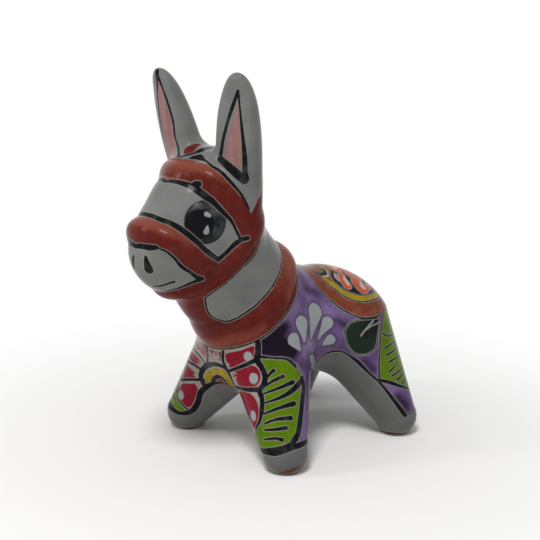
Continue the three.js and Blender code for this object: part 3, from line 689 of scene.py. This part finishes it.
def paint_eyes(paint):
    side = paint.sides[True][0]
    behind_face = np.where(side[:, 1] < FACE_END, 0, FAR)
    paint.put("eye", np.linalg.norm(side - EYE, axis=1) - EYE_RADIUS + EYE_MARGIN + behind_face)
    pupil = [(199.5, 224), (200.5, 224)]
    upper_glint = [(206.5, 214), (209.5, 215.5)]
    lower_glint = [(207.5, 226), (206.5, 231.5)]
    paint.stroke("pupil", pupil, PUPIL_WIDTH)
    paint.strokes("glint", [(upper_glint, [4.5, 3.5]), (lower_glint, [1.5, 6])])


def paint_ears(paint):
    left_pink = [(237, 103), (232, 122), (227, 141), (224, 157), (224, 157), (232, 163), (241, 169),
                 (241, 169), (241, 150), (240, 130), (238.5, 115)]
    right_pink = [(157.5, 80), (158.5, 100), (161, 120), (164, 140), (167.5, 158), (-24.6, -45, 119),
                  (-18, -47.5, 120), (-17.5, -49.8, 125), (175.5, 147), (171.5, 122), (165, 100)]
    paint.fills("pink", [left_pink, right_pink], mirrored=False)
    depth = ear_place(paint.sides[True][0])[1]
    paint.fields["pink"] = np.maximum(paint.fields["pink"], PINK_DEPTH - depth)

    left_front = [(238, 91), (233, 105), (227, 124), (222, 145), (219.5, 158)]
    left_rear = [(238, 92), (239.5, 105), (241, 120), (243, 140), (244.5, 155), (245, 170), (246, 179)]
    left_foot = [(220, 159), (228, 166), (236, 173), (244, 180)]
    right_outer = [(156.5, 70), (157, 80), (157.5, 97), (160, 119), (163, 140), (-25.5, -45.6, 119.5)]
    right_inner = [(157, 71), (162, 87), (168, 104), (173, 122), (176, 141), (178, 157)]
    right_foot = [(-25.5, -45.6, 119.5), (-22, -47.5, 121), (-18.5, -49, 123)]
    paint.strokes("ink", [
        (left_front, [3, 4, 3.5, 4, 5]),
        (left_rear, [3, 1.8, 2.5, 3.5, 5, 5.5, 6]),
        (left_foot, [6, 7.5, 8.5, 8]),
        (right_outer, [3.5, 3, 3, 3, 3, 3]),
        (right_inner, [4.5, 2.5, 3, 3, 3, 3]),
        (right_foot, [3, 6, 5]),
    ], mirrored=False)


def across(marks):
    """The same marks on the other side of the donkey."""
    return [tuple(place) for place in on_skin(marks) * [-1, 1, 1]]


def paint_straps(paint):
    """Where the red of the halter stops at the ears and the collar, where it runs thin, and where it is
    painted lighter as light falling on its upper faces.
    """
    side, facing = paint.sides[True]
    brow, latch = forehead_across(side), LATCH.across(side)
    back = (side - LATCH.centre) @ LATCH.back - POLL_BACK
    poll = np.clip(POLL_START + POLL_SLOPE * back, POLL_START, POLL_END)
    paint.put("window", np.maximum(BROW_EDGE - brow, poll - latch))
    paint.put("ink", np.abs(COLLAR.across(side, COLLAR_DIP) + COLLAR_WIDTH / 2) - COLLAR_LINE)
    foot = np.minimum(np.maximum(brow - BROW_EDGE + SEAM_OVERLAP, latch - EAR_FOOT_TOP), latch - poll)
    paint.put("strap", np.where(side[:, 2] > EAR_ROOT[2] - EAR_FOOT_DROP, foot, FAR))
    # Painted light: the red turns lighter where the skin faces up towards the top lamp
    paint.put("top", LIT_TOP_SPREAD * (LIT_TOP_FACING - facing[:, 2]))

    # Lighter red: thin glaze on the throat and the collar's front, and painted light on the collar's
    # upturned top by the withers
    throat_light = [(172, 299), (182, 314), (194, 330)]
    collar_light = [(196, 336), (225, 343), (250, 337), (264, 328)]
    nape_light = [(286, 258), (292, 276), (290, 296)]
    paint.strokes("thin", [(throat_light, [8, 14, 14]), (collar_light, [10, 13, 10, 4]),
                           (nape_light, [8, 11, 6])])

    # Brush marks on the poll, between the ears
    poll_red = [(184, 153.5), (184.5, 149), (190, 145.5), (197, 143.5), (201, 144.5), (196, 148.5),
                (193, 152), (188, 154.5)]
    poll_smear = [(186, 155.5), (194, 153), (201, 150), (208, 147.8), (213, 148.5)]
    poll_blot = [(192, 157.5), (199, 157), (202, 159.5)]
    paint.fill("red", poll_red, mirrored=False)
    paint.strokes("ink", [(poll_smear, [3, 6, 10, 9, 4]), (poll_blot, [7, 8, 5])], mirrored=False)


def paint_coat(paint):
    """The painted coat, which ends in a line that runs round each leg and under the belly."""
    chest_middle = [(-4, -36.3, 28.7)]
    chest = [(226, 384), (216, 383), (208, 386), (200.5, 393), (198, 402), (192.5, 410.5), (184, 413.5),
             (173, 410)]
    inner_foot = [(262, 451)]
    front_foot = [(268, 452), (275, 453), (283, 451), (290, 448), (300, 445), (308, 440)]
    behind = [(34.2, -21.3, 23), (29.5, -16, 29), (25.6, -12.2, 34.1), (21.5, -7.5, 36.3)]
    arch = [(316.5, 363), (320, 358.5), (325, 354.5), (333, 351.3), (343, 352), (350, 356), (358, 362),
            (368, 372), (378, 381), (386, 390), (396, 403), (405, 415)]
    rear = [(39.7, 36, 11), (36, 40.5, 11), (30, 41, 12), (24, 40, 16), (18, 38, 22), (11, 37, 26),
            (4, 36.5, 28), (-4, 36.5, 28.5)]
    line = chest_middle + across(chest) + front_foot + behind + arch + rear
    paint.flood("coat", line, inside=COAT_INSIDE)
    paint.put("ink", np.abs(paint.fields["coat"]) - COAT_LINE)
    paint.strokes("ink", [
        (across(chest[::-1]), [3, 5, 6.5, 6.5, 6.5, 6, 4, 2]),
        (inner_foot + front_foot, [5, 6, 6, 6, 6, 5.5, 5]),
        (arch, [1.5, 1.5, 2, 2.2, 2.2, 2.5, 4, 3.2, 2.5, 3, 4, 5]),
    ])

    dark_patches = [
        ([(262, 348), (276, 345), (292, 352)], [18, 26, 16]),
        ([(276, 336), (286, 326)], [20, 8]),
        ([(306, 288), (316, 293)], [1, 3]),
        ([(338, 320), (346, 326)], [4, 6]),
        ([(364, 360), (374, 370)], [1, 2]),
        ([(398, 396), (406, 405)], [5, 7]),
    ]
    light_patches = [
        ([(311, 344), (312, 352)], [12, 8]),
        ([(268, 322), (284, 312)], [4, 9]),
        ([(297, 366), (302, 374)], [2, 3]),
    ]
    worn_foot = [(279, 473), (287, 472), (294, 470), (300, 467)]
    paint.strokes("shade", dark_patches)
    paint.strokes("bloom", light_patches)
    paint.stroke("bare", worn_foot, [2, 5, 6, 3], mirrored=False)


def paint_drops(paint):
    drops = [
        ([(315, 312.5), (311, 339)], [19.5, 1.5]),
        ([(302, 324), (304.5, 342)], [16.5, 1.5]),
        ([(294, 340), (300.5, 350.5)], [14, 1.5]),
        ([(327, 323), (318, 339.5)], [13, 1.5]),
        ([(330, 340), (322.5, 345)], [11, 1.5]),
    ]
    lowest = [(310, 356), (312, 354.5), (314, 356.5), (314.7, 360), (314, 363.5), (312.7, 365.5),
              (311.2, 363.5), (310, 360)]
    paint.strokes("drop", drops)
    paint.fill("drop", lowest)


def paint_front_leaf(paint):
    edge = [(259, 357), (259, 357), (272, 358.5), (286, 360), (294, 365.5), (300, 373), (301, 383),
            (300, 395), (299, 410), (297.5, 425), (296, 436), (289, 444), (276, 449), (34.8, -41.1, 10.4),
            (25, -40.5, 10.4), (255, 431), (262, 420), (263, 405), (262, 390), (264, 376)]
    paint.fill("lime", edge)
    top = [(258, 356.5), (272, 358), (286, 359), (293.5, 364), (296.5, 368)]
    rear = [(302, 378), (304, 386), (303, 397), (301.5, 411), (300, 423), (298, 434), (293, 441)]
    foot = [(263, 450.5), (279, 448.5), (289, 445), (297, 439)]
    veins = [
        ([(264, 382), (269, 375), (273.5, 370.5)], [1.8, 2.8, 3.8]),
        ([(263, 388), (273, 381), (283, 376.5)], [1.6, 2.8, 4]),
        ([(263, 394), (279, 388), (293, 382)], [1.6, 3, 4.5]),
        ([(265, 403), (278, 398.5), (289, 393), (298, 385), (303, 378)], [1.6, 3, 4.5, 6, 4]),
        ([(264, 414), (279, 408), (294, 403.5)], [1.8, 3.2, 5]),
        ([(264, 424), (276, 419.5), (291, 418)], [1.8, 3, 4.5]),
        ([(264, 430), (274, 429.5), (286, 428)], [1.8, 2.8, 4]),
        ([(264, 439.5), (276, 438.5), (282, 440)], [1.8, 2.8, 4]),
    ]
    paint.strokes("ink", [(top, [3, 1.8, 2.5, 4, 1.5]), (rear, [5, 6.5, 7, 6.5, 6.5, 6, 5]), (foot, 4)])
    paint.strokes("ink", veins)


def paint_flower(paint):
    ground = [(259, 340), (258, 357), (264, 372), (262, 388), (262, 410), (256, 430), (18.7, -36.8, 12.8),
              (13.7, -36.4, 19.3), (9.8, -37, 26), (233, 387), (216, 384), (207, 387), (200, 393),
              (197, 403), (190, 410), (184, 409), (178, 398), (178, 388), (-35.5, -35, 22.4),
              (-33.3, -34, 27.4), (-28.6, -31.9, 38.5), (-27.1, -26.8, 46.2), (203, 338), (215, 346),
              (230, 347), (245, 344)]
    paint.fill("petal", ground, mirrored=False)
    petals = [
        [(226.5, 354), (240, 351), (253, 346.5), (255.5, 351), (253, 357), (243, 362), (230, 367.5),
         (226.5, 361)],
        [(233, 374), (240, 369.5), (249, 366), (256, 367.5), (260, 374), (259.5, 381), (255, 386),
         (246, 387), (238, 385.5), (234, 381)],
        [(239, 391.5), (246, 392.5), (252, 395.5), (256.5, 402), (258.5, 411), (257, 421), (254.5, 429),
         (248, 414), (243, 402)],
        [(209, 350), (214, 351.5), (221, 353), (221, 360), (215, 362), (209, 361)],
        [(197, 337), (203, 341), (206, 348), (205.5, 358), (200, 351), (196, 345)],
        [(192, 352), (197, 357), (201.5, 364), (196, 364), (191, 360), (189.5, 356)],
        [(187, 365), (192, 370.5), (197, 375.5), (190, 377.5), (183, 377), (185, 370)],
        [(182, 384), (190, 384), (199, 383.5), (199, 388), (195, 398), (190, 406.5), (184, 405),
         (180, 398), (179.5, 390)],
    ]
    middle = [(215, 384), (216, 380), (218.5, 378), (222, 380), (226, 385)]
    paint.fills("crimson", petals + [middle], mirrored=False)
    dots = [
        ([(248, 356), (248, 357)], 8.5),
        ([(253.5, 378), (253.5, 379)], 9.5),
        ([(253, 415.5), (253, 416.5)], 9),
        ([(181, 394.5), (181, 395.5)], 8.5),
    ]
    paint.strokes("dot", dots, mirrored=False)

    rear = [(258, 343), (258, 352), (257, 360), (262, 368), (265, 376.5), (263.5, 385), (259.5, 390.5),
            (262, 399), (261.5, 411), (259.5, 421), (255.5, 430)]
    arch = [(203.5, 384), (200.7, 375), (205, 367), (213.5, 364.2), (222, 366.4), (228, 372),
            (232, 380.5), (235, 386.5)]
    inner_arch = [(213.3, 383), (214, 379), (218.3, 376.6), (222.5, 378.4), (227, 383.5)]
    between_petals = [
        ([(229, 371), (245, 365), (258, 359)], [3, 4, 4.5]),
        ([(235, 386.5), (245, 389.5), (259, 389.5)], [3, 4, 5]),
        ([(223, 351.5), (223, 361), (226.5, 369)], [3.2, 3.5, 4]),
        ([(205.5, 343.5), (207.5, 353.5), (207, 365)], [2.8, 3.2, 3.5]),
        ([(193.5, 345), (199, 355), (206, 365)], [2.2, 2.4, 2.8]),
        ([(187, 359.5), (193.5, 364.5), (202, 370)], [2.8, 2.8, 3.2]),
        ([(181, 380), (191, 379.5), (204, 380)], [3.5, 2.8, 3]),
        ([(179, 387), (177, 396), (181, 403), (187, 409)], [2, 2, 2, 2.2]),
    ]
    paint.strokes("ink", between_petals, mirrored=False)
    paint.strokes("ink", [
        (rear, [5.5, 6, 6, 5.5, 5.5, 5.5, 5.5, 5, 5, 3.5, 2]),
        (arch, [5.5, 6, 6, 5.5, 5, 4.5, 3.5, 2.5]),
        (inner_arch, [5, 5, 5, 5, 4]),
    ], mirrored=False)
    top_petal = [(212, 357), (219, 357.5)]
    paint.strokes("feather", [(arch, 18), (top_petal, 9)], mirrored=False)
    yellow = [(204.5, 382), (204, 376.5), (207, 371.5), (212, 368.5), (218, 368), (224, 370.5), (229, 376),
              (233, 383), (234.5, 387), (230, 386), (226.5, 384), (223, 379), (219, 376), (214.5, 376.5),
              (211.5, 379.5), (210.5, 384)]
    paint.fill("yellow", yellow, mirrored=False)


def paint_saddle(paint):
    withers = [(-6, -14, 80), (10, -13, 80), (299, 265)]
    edge = [(299, 265), (303, 269), (310, 276), (316.5, 285), (325, 295), (333, 302), (340, 308),
            (350, 313.5), (360, 317.5), (370, 318), (378, 316), (383.5, 311), (24, 36, 57), (16, 41, 57.5),
            (8, 43, 57), (0, 43.5, 56.8), (-6, 43, 57)]
    ring = [(-6, 6, 72), (0, 6.5, 72), (4, 7, 72), (318, 273), (326, 282), (336, 290), (346, 297),
            (357, 301), (366, 301.5), (376, 299), (24, 31, 61.5), (17, 36, 62), (8, 38.5, 62.5),
            (0, 39.5, 62.5), (-6, 39, 62.5)]
    ground = [(-6, 17, 70.7), (0, 17, 70.7), (329, 268), (329.5, 274), (333, 280.5), (338, 285),
              (345, 290), (352, 293), (360, 295), (368, 294.5), (374, 292), (18, 32, 63.5), (10, 35, 64),
              (0, 36, 64.5), (-6, 35.5, 64.5)]
    paint.fill("saddle", withers + edge)
    paint.fill("ground", ground)
    crescent = [(309, 267), (313, 270.5), (318, 273.3), (324, 273.5), (324.5, 271), (320, 267),
                (315, 265.5)]
    paint.strokes("ink", [(edge, 1.6), (ring, 1.4), (ground, 1.2), (crescent, [1, 2, 4, 6, 3, 2, 2])])

    front_yellow = [(323, 277), (332, 284), (341, 290.5), (350, 295), (358, 297.5), (367, 298),
                    (376, 295.5), (25, 29.5, 61.8)]
    back_yellow = [(24, 30, 62), (17, 34, 62.5), (8, 36.5, 63), (0, 37.5, 63.2), (-6, 37, 63)]
    middle = [(0, 28, 68), (0, 29, 68)]
    hook = [(319.5, 265.6), (324, 266.6), (328, 270), (329, 273.8), (327, 273.8), (324.5, 269.8),
            (321, 267.6)]
    paint.strokes("yellow", [(front_yellow, [3, 6, 7, 7.5, 7.5, 7, 6, 7]), (back_yellow, 7), (middle, 10)])
    paint.fill("yellow", hook)

    petals = [
        [(339, 273.5), (341.5, 272.3), (344, 275), (346, 279), (349.5, 283), (351.5, 286.5), (350, 289),
         (346, 288), (342, 283.5), (339.5, 278.5)],
        [(351.5, 278.5), (356, 277), (360, 277.8), (361.5, 282), (365.5, 286), (368, 290.5), (366, 293),
         (361.5, 292.5), (356.5, 288), (352.5, 282.5)],
        [(327, 265.8), (333, 265.6), (338, 267.3), (341, 270), (339, 272), (334, 270.5), (329, 268)],
        [(343, 269.5), (346, 270.3), (351, 273), (354, 276), (350.5, 276.8), (346, 273.8)],
        [(365.5, 281.5), (368, 284), (370.5, 288), (369, 290), (366.5, 286)],
        [(2, 34, 65), (8, 33, 64.5), (13, 30, 65), (9, 28, 67), (3, 31, 67)],
    ]
    petal_hearts = [
        [(343, 275.5), (345, 277), (348, 281), (350, 284.5), (348.5, 286), (345.5, 283), (343.3, 279)],
        [(359.8, 281), (362.5, 283.5), (365, 287), (366, 290), (363, 289), (360, 285.5)],
        [(331.5, 266.4), (336, 267), (337.5, 269), (334, 268.8)],
    ]
    pale_strokes = [
        ([(334.5, 273), (335.5, 277), (339, 281.5)], [1.5, 2, 1]),
        ([(336.5, 273), (338, 277), (341, 281)], [1, 1.5, 1]),
        ([(328.8, 273.5), (327.5, 276.2), (323.5, 276)], [2.5, 2.5, 1.5]),
    ]
    paint.fills("orange", petals)
    paint.fills("white", petal_hearts)
    paint.strokes("white", pale_strokes)


def paint_rear_leaves(paint):
    dark = [(344, 331), (350, 323), (358, 320), (370, 319), (379, 319), (378, 334), (376, 347), (368, 354),
            (356, 354), (348, 346)]
    dark_veins = [
        ([(373, 321), (366, 329), (360, 336)], [2.5, 2, 1]),
        ([(380, 322), (372, 326), (365, 331), (361, 337)], [2, 1.2, 1.2, 1]),
    ]
    paint.fill("green", dark)
    paint.stroke("ink", dark + dark[:1], 1.0)
    paint.strokes("vein", dark_veins)

    front = [(384, 312), (381, 330), (380, 350), (379, 366), (379.5, 379)]
    bottom = [(380, 380), (390, 382.5), (400, 386), (410, 390), (33, 41, 19)]
    back = [(27, 43, 24), (22, 43, 32), (22, 44, 42), (24, 39, 52), (27, 33, 57)]
    veins = [
        [(383, 333), (388, 336), (396, 332.5)],
        [(385, 348), (395, 340)],
        [(387, 355), (397, 347)],
        [(389, 362), (399, 355)],
        [(389, 372), (398, 362)],
        [(392, 376), (404, 364)],
        [(397, 380), (404, 370)],
        [(402, 383.5), (406, 375)],
    ]
    paint.fill("lime", front + bottom + back)
    paint.strokes("ink", [(front, 1.6), (bottom, [2.5, 4, 3, 2.5, 2.5]), (bottom[-1:] + back, 1.4)])
    paint.strokes("ink", [(vein, [2.2, 1.2]) for vein in veins])


def add_object(name, data):
    obj = bpy.data.objects.new(name, data)
    bpy.context.scene.collection.objects.link(obj)
    return obj


def camera():
    data = bpy.data.cameras.new("photo_camera")
    data.sensor_width = 36
    data.lens = data.sensor_width * FOCAL_PIXELS / PHOTO_SIZE
    data.clip_start = 0.01
    obj = add_object("photo_camera", data)
    obj.location = Vector(CAMERA_PLACE * MM) + Vector((0, FEET_MIDDLE[1], 0))
    obj.rotation_euler = Vector(-BACKWARD).to_track_quat("-Z", "Y").to_euler()
    bpy.context.scene.camera = obj


def shell(name, points, normals, faces):
    """A closed wall of clay behind some faces of the skin."""
    count = len(points)
    sides = np.concatenate([faces[:, [i, (i + 1) % 4]] for i in range(4)])
    key = sides.min(1).astype(np.int64) * count + sides.max(1)
    _, where, times = np.unique(key, return_index=True, return_counts=True)
    rim = sides[where[times == 1]]
    rim_faces = np.stack([rim[:, 1], rim[:, 0], rim[:, 0] + count, rim[:, 1] + count], axis=1)
    all_faces = np.concatenate([faces, faces[:, ::-1] + count, rim_faces])
    all_points = np.concatenate([points, points - WALL * normals]) * MM + [0, FEET_MIDDLE[1], 0]
    mesh = bpy.data.meshes.new(name)
    mesh.from_pydata(all_points.tolist(), [], all_faces.tolist())
    mesh.polygons.foreach_set("use_smooth", np.ones(len(all_faces), bool))
    mesh.normals_split_custom_set_from_vertices(np.concatenate([normals, -normals]).tolist())
    return mesh


def build_pieces():
    vertices, normals, quads = skin_mesh()
    owner = divide(vertices, normals, quads)
    paint = Paint(vertices, normals, quads)
    for brushwork in (paint_head, paint_eyes, paint_ears, paint_straps, paint_coat, paint_drops,
                      paint_front_leaf, paint_flower, paint_saddle, paint_rear_leaves):
        brushwork(paint)
    pieces = {}
    for number, (name, slot, _) in enumerate(PARTS):
        faces = quads[owner == number]
        used, index = np.unique(faces, return_inverse=True)
        mesh = shell(name + "_glazed", vertices[used], normals[used], index.reshape(faces.shape))
        obj = add_object(name + "_glazed", mesh)
        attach(obj, "root")
        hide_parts(name)
        for field, values in paint.fields.items():
            attribute = mesh.attributes.new(field, "FLOAT", "POINT")
            attribute.data.foreach_set("value", np.tile(values[used], 2))
        pieces[name] = obj
    return pieces


class Nodes:
    """Builds the nodes of a material or the world."""

    def __init__(self, owner):
        owner.use_nodes = True
        self.nodes, self.links = owner.node_tree.nodes, owner.node_tree.links

    def node(self, kind, *inputs, **settings):
        node = self.nodes.new(kind)
        for key, value in settings.items():
            setattr(node, key, value)
        for socket, value in zip(node.inputs, inputs):
            if isinstance(value, bpy.types.NodeSocket):
                self.links.new(value, socket)
            elif value is not None:
                socket.default_value = value
        return node

    def math(self, operation, a, b):
        return self.node("ShaderNodeMath", a, b, operation=operation).outputs[0]

    def shown_rays(self):
        """1 for what the camera, a reflection or a clear material sees, 0 for the light on things."""
        path = self.node("ShaderNodeLightPath").outputs
        total = path["Is Camera Ray"]
        for ray in ("Is Glossy Ray", "Is Transmission Ray"):
            total = self.math("MAXIMUM", total, path[ray])
        return total

    def show(self, factor, under, over, output):
        """Ends in a blend of two shaders."""
        mix = self.node("ShaderNodeMixShader", factor, under.outputs[0], over.outputs[0])
        self.links.new(mix.outputs[0], self.nodes[output].inputs["Surface"])


class Glaze(Nodes):
    """A glossy glaze with layers of brushed colour over it."""

    def __init__(self, name):
        self.material = bpy.data.materials.new(name)
        super().__init__(self.material)
        self.shader = self.nodes["Principled BSDF"]
        self.place = self.node("ShaderNodeTexCoord").outputs["Object"]
        self.wobble = self.noise(*WOBBLE_GRAIN)
        self.brush = self.noise(*BRUSH_GRAIN)
        self.cloud = self.noise(*CLOUD_GRAIN)
        self.color = None

    def noise(self, scale, detail, stretch=(1, 1, 1)):
        place = self.node("ShaderNodeMapping", self.place, None, None, stretch).outputs[0]
        node = self.node("ShaderNodeTexNoise", place)
        node.inputs["Scale"].default_value = scale
        node.inputs["Detail"].default_value = detail
        return node.outputs[0]

    def step(self, value, low, high):
        """From 1 below the low value to 0 above the high one."""
        return self.node("ShaderNodeMapRange", value, low, high, 1.0, 0.0).outputs[0]

    def mix(self, factor, under, over):
        node = self.node("ShaderNodeMix", data_type="RGBA")
        for socket, value in zip((node.inputs[0], node.inputs[6], node.inputs[7]), (factor, under, over)):
            if isinstance(value, bpy.types.NodeSocket):
                self.links.new(value, socket)
            else:
                socket.default_value = (*value, 1) if isinstance(value, list) else value
        return node.outputs[2]

    def tones(self, light, dark, noise, low, high):
        """A colour that turns into a second tone where the noise is high."""
        return self.mix(self.step(noise, low, high), dark, light)

    def clouded(self, light, dark, low, high):
        return self.tones(light, dark, self.cloud, low, high)

    def brushed(self, light, dark, low, high):
        return self.tones(light, dark, self.brush, low, high)

    def reach(self, field, wobble=0.25):
        """Millimetres to the edge of a colour, as an unsteady brush would leave it."""
        value = self.node("ShaderNodeAttribute", attribute_name=field).outputs["Fac"]
        shake = self.math("MULTIPLY", self.math("SUBTRACT", self.wobble, 0.5), wobble)
        return self.math("ADD", value, shake)

    def lay(self, field, color, soft=0.09, grow=0.0, wobble=0.25, strength=1.0):
        """Lays a colour where a field is negative."""
        factor = self.step(self.reach(field, wobble), grow - soft, grow + soft)
        if strength != 1.0:
            factor = self.math("MULTIPLY", factor, strength)
        self.color = self.mix(factor, self.color, color)

    def finish(self):
        self.links.new(self.color, self.shader.inputs["Base Color"])
        self.shader.inputs["Roughness"].default_value = GLAZE_ROUGHNESS
        self.shader.inputs["Specular IOR Level"].default_value = GLAZE_GLOSS
        waves = self.math("ADD", self.cloud, self.math("MULTIPLY", self.brush, BRUSH_WAVES))
        bump = self.node("ShaderNodeBump")
        bump.inputs["Strength"].default_value = WAVE_STRENGTH
        bump.inputs["Distance"].default_value = WAVE_HEIGHT
        self.links.new(waves, bump.inputs["Height"])
        self.links.new(bump.outputs[0], self.shader.inputs["Normal"])
        return self.material


def black_lines(glaze):
    glaze.lay("ink", PALE, grow=0.3, soft=0.14, wobble=0.5, strength=0.75)
    glaze.lay("ink", glaze.brushed(BLACK, BLACK_THIN, 0.5, 0.75))


def halter_material():
    glaze = Glaze("halter_glaze")
    glaze.color = glaze.clouded(RED, RED_DEEP, 0.4, 0.8)
    thin = glaze.math("MULTIPLY", glaze.step(glaze.brush, 0.3, 0.65), 0.15)
    glaze.color = glaze.mix(thin, glaze.color, RED_THIN_AND_LIT)
    # Painted light from above: lighter red where the halter faces up
    glaze.lay("top", RED_THIN_AND_LIT, soft=0.8, wobble=2.0, strength=0.65)
    # Thin glaze on the throat and collar front, and painted light on the collar's top
    glaze.lay("thin", RED_THIN_AND_LIT, soft=2.2, wobble=3.0, strength=0.6)
    glaze.lay("window", PALE, grow=0.3)
    glaze.lay("window", glaze.clouded(GREY, GREY_SHADE, 0.4, 0.8))
    glaze.lay("red", RED)
    black_lines(glaze)
    return glaze.finish()


def ear_material():
    glaze = Glaze("grey_glaze")
    glaze.color = glaze.clouded(GREY, GREY_SHADE, 0.3, 0.9)
    glaze.lay("strap", PALE, grow=0.3)
    glaze.lay("strap", glaze.clouded(RED, RED_DEEP, 0.4, 0.8))
    streaks = glaze.noise(*PINK_GRAIN, stretch=(1, 1, 0.15))
    glaze.lay("pink", glaze.tones(PINK, PINK_DEEP, streaks, 0.4, 0.7))
    glaze.lay("ink", glaze.brushed(BLACK, BLACK_THIN, 0.5, 0.75))
    return glaze.finish()


def eye_material():
    glaze = Glaze("eye_glaze")
    glaze.color = glaze.clouded(GREY, GREY_SHADE, 0.3, 0.9)
    glaze.lay("eye", IRIS_DEEP, soft=0.2)
    iris = glaze.tones(IRIS, IRIS_DEEP, glaze.noise(*IRIS_GRAIN), 0.35, 0.6)
    glaze.lay("eye", iris, grow=-0.7, soft=0.6)
    glaze.lay("pupil", BLACK, soft=0.35)
    glaze.lay("glint", WHITE, soft=0.15)
    black_lines(glaze)
    return glaze.finish()


def feathers(glaze):
    """Pale brush marks that run outwards from the middle of the flower into its petals."""
    middle = FLOWER_MIDDLE * MM + [0, FEET_MIDDLE[1], 0]
    out = glaze.node("ShaderNodeVectorMath", glaze.place, tuple(middle), operation="SUBTRACT")
    ray = glaze.node("ShaderNodeVectorMath", out.outputs[0], operation="NORMALIZE")
    streaks = glaze.node("ShaderNodeTexNoise", ray.outputs[0])
    streaks.inputs["Scale"].default_value = FEATHER_SCALE
    value = glaze.node("ShaderNodeAttribute", attribute_name="feather").outputs["Fac"]
    spread = glaze.math("MULTIPLY", glaze.math("SUBTRACT", streaks.outputs[0], 0.5), FEATHER_SPREAD)
    factor = glaze.step(glaze.math("ADD", value, glaze.math("MAXIMUM", spread, FEATHER_LEAST)), -0.3, 0.3)
    factor = glaze.math("MULTIPLY", factor, glaze.step(glaze.reach("petal"), -0.1, 0.1))
    glaze.color = glaze.mix(factor, glaze.color, glaze.tones(PETAL, PINK_WASH, glaze.wobble, 0.6, 0.8))


def painted_material():
    glaze = Glaze("painted_glaze")
    # The base grey is darkened as painted shade where the body and legs get less light
    glaze.color = glaze.clouded(SHADED_LEG_GREY, SHADED_LEG_GREY_DEEP, 0.3, 0.9)
    purple = glaze.clouded(PURPLE_THIN, PURPLE, 0.3, 0.6)
    smear = glaze.math("MULTIPLY", glaze.step(glaze.noise(*SMEAR_GRAIN), 0.3, 0.52), 0.38)
    glaze.lay("coat", glaze.mix(smear, purple, PURPLE_DEEP))
    glaze.lay("shade", PURPLE_DEEP, grow=0.3, soft=1.9, wobble=1.2)
    glaze.lay("bloom", LILAC, soft=1.4, wobble=1.2, strength=0.7)
    glaze.lay("drop", PURPLE_DEEP, grow=0.7, soft=0.9, wobble=0.8, strength=0.6)
    glaze.lay("saddle", glaze.brushed(TERRACOTTA, TERRACOTTA_THIN, 0.45, 0.75))
    glaze.lay("lime", glaze.clouded(LIME, LIME_DEEP, 0.45, 0.7))
    glaze.lay("green", glaze.clouded(GREEN, BLACK, 0.5, 0.7))
    glaze.lay("vein", PALE)
    glaze.lay("petal", glaze.brushed(PETAL, PINK_WASH, 0.6, 0.85))
    glaze.lay("crimson", glaze.brushed(CRIMSON, PINK_WASH, 0.6, 0.9), grow=0.15)
    feathers(glaze)
    glaze.lay("ground", BLACK)
    glaze.lay("yellow", glaze.brushed(YELLOW, YELLOW_DEEP, 0.45, 0.7))
    glaze.lay("orange", PALE, grow=0.4)
    glaze.lay("orange", glaze.brushed(ORANGE, TERRACOTTA_THIN, 0.55, 0.75))
    glaze.lay("white", PETAL_WHITE, soft=0.2)
    glaze.lay("dot", WHITE, soft=0.3)
    black_lines(glaze)
    glaze.lay("drop", WHITE, soft=0.15)
    height = glaze.node("ShaderNodeSeparateXYZ", glaze.place).outputs[2]
    worn = glaze.math("ADD", height, glaze.math("MULTIPLY", glaze.cloud, BARE_UNEVEN))
    glaze.color = glaze.mix(glaze.step(worn, *PALE_HEIGHT), glaze.color, PALE)
    glaze.color = glaze.mix(glaze.step(worn, *BARE_HEIGHT), glaze.color, BARE_CLAY)
    glaze.lay("bare", BARE_CLAY, soft=0.3, wobble=1.5)
    return glaze.finish()


def area_lamp(name, place, aim, size, power):
    data = bpy.data.lights.new(name, "AREA")
    data.shape = "RECTANGLE"
    data.size, data.size_y = size
    data.energy = power
    obj = add_object(name, data)
    obj.location = place
    obj.rotation_euler = (Vector(aim) - Vector(place)).to_track_quat("-Z", "Y").to_euler()


def studio():
    bpy.context.scene.view_settings.view_transform = "Standard"
    world = bpy.data.worlds.new("studio")
    bpy.context.scene.world = world
    tree = Nodes(world)
    white = (1, 1, 1, 1)
    light = tree.nodes["Background"]
    light.inputs["Color"].default_value = white
    light.inputs["Strength"].default_value = FILL_LIGHT
    tree.show(tree.shown_rays(), light, tree.node("ShaderNodeBackground", white, 1.0), "World Output")
    for lamp in LAMPS:
        area_lamp(*lamp)


def floor():
    """A pale floor, which runs into the white of the backdrop away from the donkey."""
    mesh = bpy.data.meshes.new("floor")
    corners = [(x * FLOOR_REACH, y * FLOOR_REACH, 0) for x, y in ((-1, -1), (1, -1), (1, 1), (-1, 1))]
    mesh.from_pydata(corners, [], [(0, 1, 2, 3)])
    obj = add_object("floor", mesh)
    material = bpy.data.materials.new("pale_floor")
    tree = Nodes(material)
    shader = tree.nodes["Principled BSDF"]
    shader.inputs["Base Color"].default_value = (*FLOOR, 1)
    shader.inputs["Roughness"].default_value = 0.9
    shader.inputs["Specular IOR Level"].default_value = 0.0
    place = tree.node("ShaderNodeTexCoord").outputs["Object"]
    away = tree.node("ShaderNodeVectorMath", place, operation="LENGTH").outputs["Value"]
    fade = tree.node("ShaderNodeMapRange", away, *FLOOR_FADE, interpolation_type="SMOOTHSTEP")
    backdrop = tree.math("MULTIPLY", fade.outputs[0], tree.shown_rays())
    tree.show(backdrop, shader, tree.node("ShaderNodeEmission"), "Material Output")
    mesh.materials.append(material)


camera()
pieces = build_pieces()
materials = {
    "painted_glaze": painted_material(),
    "halter_glaze": halter_material(),
    "grey_glaze": ear_material(),
    "eye_glaze": eye_material(),
}
for name, slot, _ in PARTS:
    material = "halter_glaze" if name in ("head", "neck") else slot
    pieces[name].data.materials.append(materials[material])
floor()
studio()
